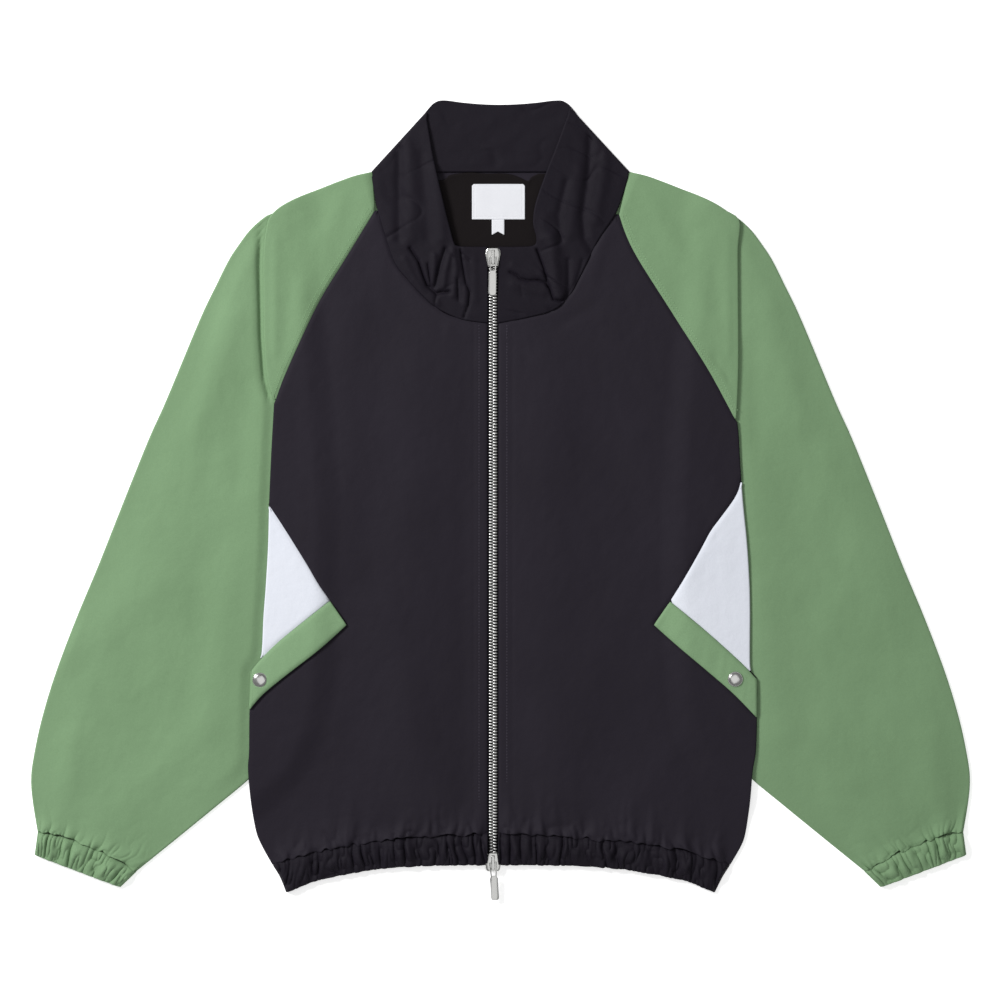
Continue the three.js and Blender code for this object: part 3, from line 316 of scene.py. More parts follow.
def seamDip(out, y, seams):  # cloth turns down into its seams and puckers beside them
    z = np.zeros(np.shape(out))
    for k, line in enumerate(seams):
        away, along = lineDistance(out, y, line)
        pucker = 0.16 * noise(along, along * 0 + 31 * k, 5.5, 20 + k) * np.exp(-away / 7)
        z += pucker - 0.9 * hump(away, 2.2)
    return z


def place(side, out, y, z):
    return np.stack(np.broadcast_arrays(sign[side] * np.asarray(out, float), y, z), -1)


def foldArc(out, y, normal, topZ, lowZ, thickness, angles):  # cloth turning over an edge
    radius = (topZ - lowZ) / 2
    reach = radius * np.sin(angles) - radius - thickness / 2
    return out + normal[0] * reach, y + normal[1] * reach, (topZ + lowZ) / 2 + radius * np.cos(angles)


# Closed wall of the given thickness round a grid of mid-surface points, with a rounded rim
def wallMesh(name, grid, thickness, ring=False, grain=None):
    rows, cols = grid.shape[:2]
    padded = np.concatenate([grid[:, -1:], grid, grid[:, :1]], 1) if ring else grid
    across = np.gradient(padded, axis=1)
    across = across[:, 1:-1] if ring else across
    down = np.gradient(grid, axis=0)
    normal = np.cross(down, across)
    normal *= thickness / 2 / np.maximum(np.linalg.norm(normal, axis=-1, keepdims=True), 1e-9)
    number, size = np.arange(rows * cols).reshape(rows, cols), rows * cols
    topEdge = [(0, j) for j in range(cols)]
    lowEdge = [(rows - 1, j) for j in reversed(range(cols))]
    loops = [topEdge, lowEdge] if ring else [
        topEdge[:-1] + [(i, cols - 1) for i in range(rows - 1)]
        + lowEdge[:-1] + [(i, 0) for i in range(rows - 1, 0, -1)]]
    rim, rimFaces = [], []
    for loop in loops:
        start = 2 * size + len(rim)
        for k, (i, j) in enumerate(loop):
            push = np.zeros(3)
            if i in (0, rows - 1):
                push -= unit(down[i, j]) * (1 if i == 0 else -1)
            if not ring and j in (0, cols - 1):
                push -= unit(across[i, j]) * (1 if j == 0 else -1)
            rim.append(grid[i, j] + unit(push) * thickness * 0.42)
            after = (k + 1) % len(loop)
            p, q, rp, rq = number[i, j], number[loop[after]], start + k, start + after
            rimFaces += [(p, q, rq, rp), (rp, rq, q + size, p + size)]
    here = number if ring else number[:, :-1]
    beside = np.roll(number, -1, 1) if ring else number[:, 1:]
    top = np.stack([m.ravel() for m in (here[:-1], here[1:], beside[1:], beside[:-1])], 1)
    faces = np.vstack([top, top[:, ::-1] + size, rimFaces])
    spots = np.vstack([(grid + normal).reshape(-1, 3), (grid - normal).reshape(-1, 3), rim]) * mm
    a, b, c = spots[np.vstack([faces[:, :3], faces[:, [0, 2, 3]]]).T]
    if np.sum(a * np.cross(b, c)) < 0:
        faces = faces[:, ::-1]
    mesh = bpy.data.meshes.new(name)
    mesh.from_pydata(spots.tolist(), [], faces.tolist())
    if grain is None:  # threads follow the strip
        u, v = np.broadcast_arrays(runAlong(grid, 1), runAlong(grid[:, :1], 0))
    else:  # threads run straight over the flat piece
        u, v = turned(grid[..., 0], grid[..., 1], grain)
    uv = np.stack([u, v], -1).reshape(-1, 2) * mm
    uv = np.vstack([uv, uv, [uv[number[spot]] for loop in loops for spot in loop]])
    corners = np.zeros(len(mesh.loops), int)
    mesh.loops.foreach_get("vertex_index", corners)
    mesh.uv_layers.new(name="cloth").data.foreach_set("uv", uv[corners].ravel())
    mesh.shade_smooth()
    return mesh


def areaOf(grid, ring=False):
    full = np.concatenate([grid, grid[:, :1]], 1) if ring else grid
    a, b, c, d = full[:-1, :-1], full[1:, :-1], full[1:, 1:], full[:-1, 1:]
    tri = lambda p, q, r: np.linalg.norm(np.cross(q - p, r - p), axis=-1).sum() / 2
    return (tri(a, b, c) + tri(a, c, d)) * mm * mm


def link(name, data):
    made = bpy.data.objects.new(name, data)
    bpy.context.scene.collection.objects.link(made)
    return made


def addPiece(name, mesh, material, body, slotName, nodes=()):
    piece = link(name, mesh)
    if material:
        mesh.materials.append(material)
    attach(piece, body)
    if nodes:
        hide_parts(*nodes)
    return piece


# ---- node graphs
class Graph:
    def __init__(self, tree):
        self.tree = tree

    def node(self, kind, settings=None, sockets=None, output=0):
        made = self.tree.nodes.new(kind)
        for key, value in (settings or {}).items():
            setattr(made, key, value)
        for key, value in (sockets or {}).items():
            self.give(made.inputs[key], value)
        return Wire(self, made.outputs[output], made) if len(made.outputs) else None

    def give(self, socket, value):
        if isinstance(value, Wire):
            self.tree.links.new(value.socket, socket)
        else:
            socket.default_value = value

    def noise(self, scale, detail, **more):
        spot = self.node("ShaderNodeTexCoord", output="Object")
        return self.node("ShaderNodeTexNoise", sockets={
            "Vector": spot, "Scale": scale, "Detail": detail, **more})

    def mix(self, factor, a, b, **settings):
        return self.node("ShaderNodeMix", {"data_type": "RGBA", **settings}, {0: factor, 6: a, 7: b}, 2)

    def bump(self, height, distance, strength):
        return self.node("ShaderNodeBump", sockets={
            "Height": height, "Distance": distance, "Strength": strength})


class Wire:  # an output socket that takes part in Python expressions
    def __init__(self, graph, socket, node):
        self.graph, self.socket, self.made = graph, socket, node

    def out(self, name):
        return Wire(self.graph, self.made.outputs[name], self.made)

    def maths(self, operation, a, b):
        return self.graph.node("ShaderNodeMath", {"operation": operation}, {0: a, 1: b})

    def __add__(self, other):
        return self.maths("ADD", self, other)

    def __radd__(self, other):
        return self.maths("ADD", other, self)

    def __sub__(self, other):
        return self.maths("SUBTRACT", self, other)

    def __rsub__(self, other):
        return self.maths("SUBTRACT", other, self)

    def __mul__(self, other):
        return self.maths("MULTIPLY", self, other)

    def __rmul__(self, other):
        return self.maths("MULTIPLY", other, self)


class Surface:  # a material and what feeds its sockets
    def __init__(self, name):
        self.material = bpy.data.materials.new(name)
        self.material.use_nodes = True
        self.graph = Graph(self.material.node_tree)

    def finish(self, values):
        shader = self.material.node_tree.nodes["Principled BSDF"]
        for key, value in values.items():
            self.graph.give(shader.inputs[key], value)
        return self.material


def linear(code, depth=1.0):  # a colour as a maker writes it, to the renderer's own scale
    parts = [int(code[k:k + 2], 16) / 255 for k in (1, 3, 5)]
    parts = [p / 12.92 if p <= 0.04045 else ((p + 0.055) / 1.055) ** 2.4 for p in parts]
    return [p * depth for p in parts] + [1.0]


shell = {"gloss": 0.13, "rough": 0.68, "drift": 9.0, "fleck": 0.10, "fleckScale": 900.0,
         "warp": 420.0, "weft": 380.0, "rib": 0.05, "crinkle": 90.0, "crinkleHeight": 0.8}


# Thin woven shell cloth: fine ribs both ways, a faint crinkle, slow drift of tone and gloss
def wovenCloth(name, dark, light, **own):
    look = {**shell, **own}
    surface = Surface(name)
    graph = surface.graph
    drift = graph.noise(look["drift"], 3.0)
    threads = (graph.noise(look["fleckScale"], 2.0) - 0.5) * look["fleck"] + 0.5
    grey = graph.node("ShaderNodeCombineColor", sockets={k: threads for k in range(3)})
    tone = graph.mix(drift, linear(dark), linear(light))
    uv = graph.node("ShaderNodeUVMap", {"uv_map": "cloth"})
    ribs = [graph.node("ShaderNodeTexWave", {"bands_direction": axis}, {
        "Vector": uv, "Scale": scale, "Distortion": 1.2, "Detail": 1.0, "Detail Scale": 2.0}, "Fac")
        for axis, scale in (("X", look["warp"]), ("Y", look["weft"]))]
    crinkle = graph.noise(look["crinkle"], 4.0, Roughness=0.55)
    height = (ribs[0] + ribs[1]) * look["rib"] + crinkle * look["crinkleHeight"]
    return surface.finish({
        "Specular IOR Level": look["gloss"], "Base Color": graph.mix(1.0, tone, grey, blend_type="OVERLAY"),
        "Roughness": drift * 0.12 + (look["rough"] - 0.06), "Normal": graph.bump(height, 0.001, 0.6)})


black = wovenCloth("black shell cloth", "#1d1921", "#25212a")
# Darker copy of the black cloth for the collar and the hem casing: painted shade of their folds and gathers
blackPaintedShade = wovenCloth("black shell cloth, painted shade", "#141018", "#1a161f")
green = wovenCloth("green shell cloth", "#708d69", "#7a9873")
# Lighter copy of the green cloth for the pocket welts: painted light
greenPaintedLight = wovenCloth("green shell cloth, painted light", "#76946f", "#809f79")
white = wovenCloth("white shell cloth", "#d4d8e2", "#e1e4ec")
liningCloth = wovenCloth("neck lining cloth", "#110d0e", "#181415", rough=0.8, gloss=0.1,
                         warp=300.0, weft=280.0)
labelCloth = wovenCloth("label cloth", "#dddee3", "#e7e8ed", warp=300.0, weft=520.0,
                        rib=0.12, crinkleHeight=0.15)
tapeCloth = wovenCloth("zip tape cloth", "#141216", "#1b191d", rough=0.85, gloss=0.1,
                       warp=260.0, weft=520.0, rib=0.3, crinkleHeight=0.1)


def threadMaterial(name, code):
    surface = Surface(name)
    twist = surface.graph.noise(700.0, 2.0)
    return surface.finish({
        "Sheen Weight": 0.1, "Specular IOR Level": 0.3, "Roughness": 0.7,
        "Base Color": surface.graph.mix(twist, linear(code, 0.72), linear(code)),
        "Normal": surface.graph.bump(twist, 0.0004, 0.5)})


def metalMaterial(name, code, rough):
    surface = Surface(name)
    wear = surface.graph.noise(260.0, 4.0)
    return surface.finish({
        "Metallic": 1.0, "Roughness": wear * 0.08 + (rough - 0.04),
        "Base Color": surface.graph.mix(wear, linear(code, 0.9), linear(code)),
        "Normal": surface.graph.bump(wear, 0.0002, 0.03)})


silver = metalMaterial("polished silver metal", "#bfbfbd", 0.22)
toothMetal = metalMaterial("bright tooth metal", "#e6e6e4", 0.3)
blackThread = threadMaterial("black thread", "#4a4552")
# Real topstitching, its thread made lighter than the green cloth: painted highlight along the seams
greenThreadPaintedHighlight = threadMaterial("green thread, painted highlight", "#94b98b")
print("materials ready")

# ---- cloth of the body
frontCut = {
    "flatCols": 128, "turn": 3.0, "arcCols": 6, "rowStep": 2.9, "endStep": 1.5, "endSpan": 42,
    "thickness": layers["cloth"], "edgeDrop": 0.5, "edgeReach": 1.1,
    "stitchDrop": 0.25, "stitchReach": 1.6, "stitchFrom": 13.5}
neckKnots = [0.02, 0.2, 0.34, 0.45, 0.56, 0.68, 0.84, 1]  # shares of the neck seam beside the raglan's own


def hemDrop(out, y):
    return (hemSeamPath.read(np.abs(out)) - zipLine["hemY"]) * smooth(-240, zipLine["hemY"], y)


def sideSpot(side, row):
    y = row + hemDrop(hemSeam[-1][0], row)
    return float(sidePath[side].read(y)), float(y)


def centreY(y):
    return lerp(60, zipLine["neckY"], (y - 60) / 140) if y > 60 else y


def offsetLine(path, t, away):  # a spot, or a line of spots, beside a path
    spots, way = path.at(t), path.tangent(t)
    return spots[..., 0] - way[..., 1] * away, spots[..., 1] + way[..., 0] * away


# Rows of a front from the neck corner down: outer end, inner end, nominal height, folded or not
def frontRows(side):
    rows, tip = [], raglanPath[side].at(1.0)[1]
    for k in np.arange(0, 10.001, 0.2):
        outer = raglanPath[side].at(lerp(cornerShare, 1, k / 10))
        if k <= 7:
            inner = offsetLine(neckPath[side], np.interp(k, range(8), neckKnots), halfGap * 1.4)
        else:
            inner = (frontEdge[side], lerp(zipLine["neckY"], centreY(tip), (k - 7) / 3))
        rows.append((outer[0] - halfGap, outer[1], *inner, None, False))
    (insertTop, _), (insertLow, insertOut) = insertEdge[side][0], insertEdge[side][-1]
    (weltHigh, weltOut), (weltEnd, _) = weltBottom[side][0], weltBottom[side][-1]
    stops = [raglanSeam[side][-1][1] - 3, insertTop, insertLow, weltHigh, weltEnd,
             zipLine["hemY"] + frontCut["endSpan"], zipLine["hemY"]]
    for start, stop in zip(stops[:-1], stops[1:]):
        last = stop == stops[-1]
        count = max(2, round((start - stop) / frontCut["endStep" if last else "rowStep"]))
        for y in np.linspace(start, stop, count, endpoint=last):
            folded, outY = y > insertTop or y < weltEnd + 0.01, y
            if folded:
                out, outY = sideSpot(side, y)
            elif y >= insertLow:
                out = insertPath[side].read(y) - halfGap
            elif y > weltHigh:
                out = np.interp(y, [weltHigh, insertLow], [weltOut, insertOut]) - layers["seamGap"]
            else:
                out = weltBottomPath[side].read(y) - layers["seamGap"]
            rows.append((float(out), outY, frontEdge[side], centreY(y), y, folded))
    return rows


def bodyRow(side, row, cols, under, cut):
    out, outY, inOut, inY, nominal, folded = row
    t = np.arange(cols) / cols
    outs = lerp(inOut, out - cut["turn"], t)
    ys = lerp(inY, outY if nominal is None else nominal, t)
    if nominal is not None:
        ys = ys + hemDrop(outs, ys)
    level = underZ if under else (lambda o, y: overZ(side, o, y))
    if folded:
        start, stop = (math.pi, math.pi / 2 + foldSeam) if under else (0, math.pi / 2 - foldSeam)
        edge = foldArc(out, outY, (1, 0), *levels(side, out - 2, outY), cut["thickness"],
                       np.linspace(start, stop, cut["arcCols"]))
    else:
        o = out - np.linspace(cut["turn"] * 0.86, 0, cut["arcCols"])
        edge = (o, np.full(len(o), outY), level(o, outY))
    return [np.concatenate(pair) for pair in zip((outs, ys, level(outs, ys)), edge)]


def gatherSeed(cut, side):
    return cut["seed"] + 5 * sides.index(side)


# Gathers of the hem reach up into the cloth above its seam: height, and shift of the seam line
def hemPucker(side, out, y):
    ends = smooth(0, 8, out - frontEdge[side]) * smooth(0, 12, hemSeam[-1][0] - out)
    above = np.abs(y - hemSeamPath.read(np.abs(out)))
    lift, shift = pucker(out, above, gatherSeed(hemCut, side), hemCut["pucker"])
    return lift * ends, shift * ends


def frontGrid(side):
    table, t = frontRows(side), np.linspace(0, 1, 30)
    rows = [bodyRow(side, row, frontCut["flatCols"], False, frontCut) for row in table]
    o, y, z = (np.stack(part) for part in zip(*rows))
    pocket = np.vstack([path[side].at(t)[:, ::-1] for path in (insertPath, weltBottomPath)])
    dip = seamDip(o, y, [neckPath[side].at(t), raglanPath[side].at(t), pocket,
                         hemSeamPath.at(np.linspace(0, 1, 20))])
    dip[:, frontCut["flatCols"]:] *= [[not row[-1]] for row in table]
    lift, shift = hemPucker(side, o, y)
    y = y + shift
    away = o - frontEdge[side]
    roll = (frontCut["edgeDrop"] * hump(away, frontCut["edgeReach"])
            + frontCut["stitchDrop"] * hump(away - frontCut["stitchFrom"], frontCut["stitchReach"]))
    return place(side, o, y, z + dip + lift - np.where(y < zipLine["neckY"], roll, 0))


backCut = {"turn": 3.0, "arcCols": 6, "thickness": layers["cloth"], "cols": 72,
           "shoulderRows": 36, "sideRows": 72}


def backSpot(side, share):
    tip = crease[side][-1]
    return lerp(backNeck[0], tip[0] - 2.2, share), lerp(backNeck[1], tip[1], share)


def backGrid():
    grid, t = [], np.arange(1, backCut["cols"]) / backCut["cols"]
    shoulderPart = np.linspace(cornerShare, 1, backCut["shoulderRows"])
    for h in np.concatenate([shoulderPart, np.linspace(1, 2, backCut["sideRows"])[1:]]):
        ends = []
        for side in sides:
            if h <= 1:
                out, y = backSpot(side, 0 if h == cornerShare else h)
                ends.append((out, y, 0, y, None, False))
            else:
                row = lerp(raglanSeam[side][-1][1] - 3, zipLine["hemY"], h - 1)
                out, y = sideSpot(side, row)
                ends.append((out, y, 0, y, row, True))
        right, left = ends
        x = lerp(backCut["turn"] - right[0], left[0] - backCut["turn"], t)
        height = 1 if h <= 1 else 4
        y = lerp(right[height], left[height], t)
        if h > 1:
            y = y + hemDrop(x, y)
        soft = 0.35 * noise(x, y, 60, 9, 1.6, 30) + 0.2 * noise(x, y, 22, 10)
        middle = np.stack([x, y, underZ(np.abs(x), y) + np.maximum(soft, -0.1) * 0.4], -1)
        caps = [place(side, *(part[1:] for part in bodyRow(side, end, 1, True, backCut)))
                for side, end in zip(sides, ends)]
        grid.append(np.vstack([caps[0][::-1], middle, caps[1]]))
    return np.stack(grid)


shoulderCut = {"rows": 64, "frontCols": 26, "backCols": 14, "arcCols": 9, "leastTurn": 1.7, "mostTurn": 3}


def shoulderGrid(side):
    rows = []
    for k, share in enumerate(np.linspace(cornerShare, 1, shoulderCut["rows"])):
        seam = raglanPath[side].at(share)
        pathShare = 0 if k == 0 else share
        edge, way = shoulderPath[side].at(pathShare), shoulderPath[side].tangent(pathShare)
        normal = np.array([-way[1], way[0]])
        room = max(shoulderCut["leastTurn"], np.linalg.norm(edge - seam) - 0.8)
        fold = edge - normal * min(shoulderCut["mostTurn"], room)
        start = seam + (halfGap, halfGap if k == 0 else 0)
        end = np.add(backSpot(side, pathShare), (halfGap, 0))
        t = np.arange(shoulderCut["frontCols"])[:, None] / shoulderCut["frontCols"]
        spots = lerp(start, fold, t).T
        dip = seamDip(*spots, [raglanPath[side].at(shares)])
        arc = foldArc(*edge, normal, *levels(side, *fold), layers["cloth"],
                      np.linspace(0, math.pi, shoulderCut["arcCols"]))
        u = np.arange(shoulderCut["backCols"])[::-1, None] / shoulderCut["backCols"]
        lower = lerp(end, fold, u).T
        rows.append(np.vstack([place(side, *spots, overZ(side, *spots) + dip), place(side, *arc),
                               place(side, *lower, underZ(*lower))]))
    return np.stack(rows)


# ---- sleeves and cuffs
sleeveCut = {"stations": 112, "endStations": 36, "endStart": 0.935, "topCols": 144, "lowCols": 18,
             "arcCols": 7, "bow": 6, "thickness": layers["cloth"]}
cuffCut = {"topCols": 150, "rows": 26, "height": 7.4, "lowCols": 18, "arcCols": 7, "seed": 40,
           "outer": (465.5, -353.5), "inner": (379.5, -386), "wide": 96, "deep": 28, "pucker": 7.4,
           "thickness": layers["casing"], "tuck": 0.06}
hemCut = {"cols": 280, "rows": 26, "height": 7.4, "pucker": 8.4, "backCols": 60, "arcCols": 7, "seed": 70,
          "thickness": layers["casing"], "tuck": 0.07, "deep": 30}
ruffleLook = {"lean": 4.0, "wide": 8.5, "fine": 4.4, "wideShare": 0.7, "fineShare": 0.36}


# Uneven gathers of elasticated cloth: soft ridges parted by narrow creases that fork and end
def ruffle(along, across, seed):
    along, across = np.broadcast_arrays(np.asarray(along, float), np.asarray(across, float))
    u = along + ruffleLook["lean"] * noise(along, across, 17, seed, 1.2)
    wide = np.abs(noise(u, across, ruffleLook["wide"], seed + 1, 4.5)) ** 0.48
    fine = np.abs(noise(u, across, ruffleLook["fine"], seed + 2, 3.0)) ** 0.7
    return ruffleLook["wideShare"] * wide + ruffleLook["fineShare"] * fine


# The same gathers fading into the cloth above the seam: height, and shift of the seam line
def pucker(along, above, seed, height):
    level = np.zeros(np.shape(along))
    reach = 11 + 7 * noise(along, level, 11, seed + 3)
    lift = height * ruffle(along, -above, seed) * np.exp(-above / np.maximum(reach, 3)) * (above < 70)
    return lift, 3.0 * noise(along, level, 5.5, seed + 4) * np.exp(-above / 5)


# The sleeve swells beside the body's edge: "base" at the edge, each side's own height more from
# "crest" on, fading out at "reach"; no groove sinks the cloth below "lowest"
sleeveRoll = {"base": 0.8, "right": 2.3, "left": 0.6, "crest": 12, "reach": 70, "lowest": 1.5}
sleeveGroove = [([(-239.5, 273), (-241, 236), (-239.3, 165), (-236, 122), (-231, 104)], 2.2, -3.2)]


def sleeveTopZ(side, out, y):
    beside = lineDistance(out, y, foldLine[side])[0]
    fromBody = np.where(out > sidePath[side].read(y), beside, 0)
    fromEdge = lineDistance(out, y, sleeveOutline)[0]
    x = sign[side] * out
    room = smooth(5, 60, fromBody) * smooth(0, 40, fromEdge)
    rough = (0.9 * noise(x, y, 60, 12, 2.4, 22 * sign[side])
             + 0.65 * noise(x, y, 28, 13, 2.4, -18 * sign[side])
             + 0.34 * noise(x, y, 13, 14, 1.6, 50) + 0.15 * noise(x, y, 7, 15, 1.5, -30))
    soft = strokes(x, y, sleeveFolds) * smooth(0, 9, fromEdge) * smooth(0, 4, fromBody)
    crest = sleeveRoll["crest"]
    roll = sleeveRoll["base"] + sleeveRoll[side] * smooth(1, crest, fromBody)
    roll = roll * (1 - smooth(crest, sleeveRoll["reach"], fromBody)) * smooth(0, 22, fromEdge)
    z = layers["floorLayer"] + layers["step"] + room * (layers["sleevePuff"] + rough) + soft
    z = z + roll * smooth(-330, -250, y) + creased(x, y, sleeveGroove) * smooth(0, 2.5, fromBody)
    return np.maximum(z, sleeveRoll["lowest"])


# One ring of a flat tube; topLevel takes its upper spots and says where they lie and how high
def tubeRing(side, outer, inner, outerNormal, innerNormal, cut, topLevel, bow, raised=0.0):
    low = cut["thickness"] / 2 + raised
    high = low + layers["step"] - 2 * raised
    inset = layers["step"] / 2 + cut["thickness"]
    start, stop = outer - outerNormal * inset, inner - innerNormal * inset
    t = np.arange(1, cut["topCols"]) / cut["topCols"]
    u = (np.arange(1, cut["lowCols"]) / cut["lowCols"])[::-1]
    spots, lowSpots = ((start + (stop - start) * s[:, None] + (0, 1) * (bow * 4 * s * (1 - s))[:, None]).T
                       for s in (t, u))
    angles = np.linspace(math.pi, 0, cut["arcCols"])
    return np.vstack([
        place(side, *foldArc(*outer, outerNormal, high, low, cut["thickness"], angles)),
        place(side, *topLevel(*spots, t)),
        place(side, *foldArc(*inner, innerNormal, high, low, cut["thickness"], angles[::-1])),
        place(side, *lowSpots, low)])


def sleeveGrid(side):
    rows = []
    slant, endStart = outerPath.tangent(1.0), sleeveCut["endStart"]
    for share in np.concatenate([np.linspace(0.004, endStart, sleeveCut["stations"])[:-1],
                                 np.linspace(endStart, 1, sleeveCut["endStations"])]):
        outWay, inWay = outerPath.tangent(share), innerPath.tangent(share)

        def level(o, y, t):
            above = (1 - share) * outerPath.length[-1]
            lift, shift = pucker(t * cuffCut["wide"], above, gatherSeed(cuffCut, side), cuffCut["pucker"])
            o, y = o + slant[0] * shift, y + slant[1] * shift
            z = sleeveTopZ(side, o, y) * (1 - 0.2 * smooth(0.84, 1, share))
            return o, y, z + lift - smooth(0.995, 1, share)

        rows.append(tubeRing(
            side, outerPath.at(share), innerPath.at(share), np.array([-outWay[1], outWay[0]]),
            np.array([inWay[1], -inWay[0]]), sleeveCut, level, sleeveCut["bow"] * smooth(0.86, 1, share)))
    return np.stack(rows)


def cuffGrid(side):
    starts, stops = (outerPath.at(1.0), innerPath.at(1.0)), (cuffCut["outer"], cuffCut["inner"])
    down = unit(stops[0] - starts[0])
    rows = []
    for t in [-cuffCut["tuck"], *np.linspace(0, 1, cuffCut["rows"])]:  # the first row tucks under the sleeve
        outer, inner = (lerp(a, np.array(b), t) + down * (1 - t) * 2 * layers["seamGap"]
                        for a, b in zip(starts, stops))
        across = unit(outer - inner)
        swell = 0.5 + 0.5 * math.sin(math.pi * min(1, 0.12 + max(t, 0) * 0.8))

        def level(o, y, u):
            waves = ruffle(u * cuffCut["wide"], t * cuffCut["deep"], gatherSeed(cuffCut, side))
            small = 0.2 * noise(o, y, 2.6, 54, 3, 30 * sign[side])
            seam = -hump(max(t, 0), 0.07) - (1.4 if t < 0 else 0)
            return o, y, (cuffCut["thickness"] / 2 + layers["step"] + cuffCut["height"] * swell * waves
                          + small + seam)

        rows.append(tubeRing(side, outer, inner, across, -across, cuffCut, level,
                             sleeveCut["bow"] * (1 - t), 0.9 if t < 0 else 0))
    return np.stack(rows)


# ---- side inserts and welts
insertCut = {"rows": 46, "cols": 22, "arcCols": 6, "turn": 3, "topDrop": 2.3}
weltCut = {"rows": 9, "cols": 52, "thickness": 1.7, "lean": {"right": 2.0, "left": 0.3},
           "turnBack": np.array([1.9, 1.4, 1.0]), "turnDrop": np.array([0.2, 0.6, 1.1]), "turn": 2.6}


def insertGrid(side):
    (top, _), (corner, _) = insertEdge[side][0], insertEdge[side][-1]
    seams = [path[side].at(shares)[:, ::-1] for path in (insertPath, weltTopPath)]
    t = np.arange(insertCut["cols"]) / insertCut["cols"]
    rows = []
    for y in np.linspace(top - insertCut["topDrop"], insertEnd[side], insertCut["rows"]):
        inner = (insertPath[side] if y >= corner else weltTopPath[side]).read(y) + layers["seamGap"]
        outer = float(sidePath[side].read(y))
        o = lerp(inner, max(outer - insertCut["turn"], inner), t)
        ys = np.full(len(o), y)
        z = overZ(side, o, ys) + seamDip(o, ys, seams)
        arcOut, _, arcZ = foldArc(outer, y, (1, 0), *levels(side, outer - 2, y), layers["cloth"],
                                  np.linspace(0, math.pi / 2 - foldSeam, insertCut["arcCols"]))
        outs = np.concatenate([o, arcOut])
        least = np.minimum(inner + 0.05 * np.arange(len(outs)), outer)
        rows.append(place(side, np.maximum(outs, least), y, np.concatenate([z, arcZ])))
    return np.stack(rows)


def weltSpots(side, along, t):
    upperY, lowerY = (lerp(tab[side][0][0], tab[side][-1][0], along) for tab in (weltTop, weltBottom))
    upper = np.stack([weltTopPath[side].read(upperY), upperY], -1)
    return lerp(upper, np.stack([weltBottomPath[side].read(lowerY), lowerY], -1), t)


def weltGrid(side):
    rows, along = [], np.linspace(0.005, 1, weltCut["cols"])
    for t in np.linspace(0.012, 0.988, weltCut["rows"]):
        spots = weltSpots(side, along, t)
        way = unit(spots[-1] - spots[-2])
        turn = (spots[-1] - way * weltCut["turnBack"][:, None]).T
        spots[-1] -= way * weltCut["turn"]
        rib = 0.3 * math.sin(math.pi * t) - 0.45 * hump(1 - t, 0.08) - 0.3 * hump(t, 0.08)
        cross = 0.22 * noise(along * 130, along * 0 + 9 * t, 5, 61 + sides.index(side), 3)
        z = overZ(side, *spots.T) + layers["cloth"] / 2 + 0.35 + rib + cross * (0.4 + 0.6 * t)
        z = z + weltCut["lean"][side] * t
        rows.append(np.vstack([place(side, *spots.T, z), place(side, *turn, z[-1] - weltCut["turnDrop"])]))
    return np.stack(rows)


# ---- hem casing, one gathered strip from the zip round the back to the zip
def hemGrid():
    rows = []
    for t in [-hemCut["tuck"], *np.linspace(0, 1, hemCut["rows"])]:  # the first row tucks under the body
        below, tuck = max(t, 0), 1.3 if t < 0 else 0
        edgeY = lerp(hemSeam[-1][1] - 1, hemEdge[-1][1], below)
        reach = {s: float(sidePath[s].read(edgeY)) - tuck for s in sides}

        def yAt(out, wide):
            seam = hemSeamPath.read(np.abs(out) * (hemSeam[-1][0] / wide)) - 3 * layers["seamGap"]
            return lerp(seam, hemEdgePath.read(np.abs(out) * (hemEdge[-1][0] / wide)), t)

        swell = 0.42 + 0.58 * math.sin(math.pi * min(1, 0.1 + below * 0.75))
        halves, turns = {}, {}
        for side in sides:
            u = np.linspace(0, 1, hemCut["cols"])
            o = lerp(frontEdge[side], reach[side] - 3, u)
            y = yAt(o, reach[side])
            waves = ruffle(o, t * hemCut["deep"], gatherSeed(hemCut, side))
            small = 0.2 * noise(o, y, 2.6, 53, 3.5, -10)
            z = overZ(side, o, y, False) + 0.1 + hemCut["height"] * swell * waves + small
            z = z - 0.9 * hump(below, 0.07) - tuck
            scallop = -1.1 * below ** 4 * (waves - 0.5) * smooth(0, 0.04, u)
            halves[side] = place(side, o, y + scallop, z)
            sideY = float(yAt(reach[side], reach[side]))
            top, low = levels(side, reach[side], sideY, False)[0] + 0.1 - tuck, hemCut["thickness"] / 2 + tuck
            turns[side] = place(side, *foldArc(reach[side], sideY, (1, 0), top, low, hemCut["thickness"],
                                               np.linspace(0, math.pi, hemCut["arcCols"])[1:]))
        x = lerp(-reach["right"], reach["left"], np.arange(1, hemCut["backCols"]) / hemCut["backCols"])
        wide = np.where(x < 0, reach["right"], reach["left"])
        swing = np.sin(x / 4.4 + 1.3 * noise(x, x * 0, 20, 81))
        rise = 0.35 * swell * (swing + 1) * smooth(0, 12, wide - np.abs(x))
        back = np.stack([x, yAt(x, wide), hemCut["thickness"] / 2 + tuck + rise], -1)
        rows.append(np.vstack([halves["right"], turns["right"], back,
                               turns["left"][::-1], halves["left"][::-1]]))
    return np.stack(rows)


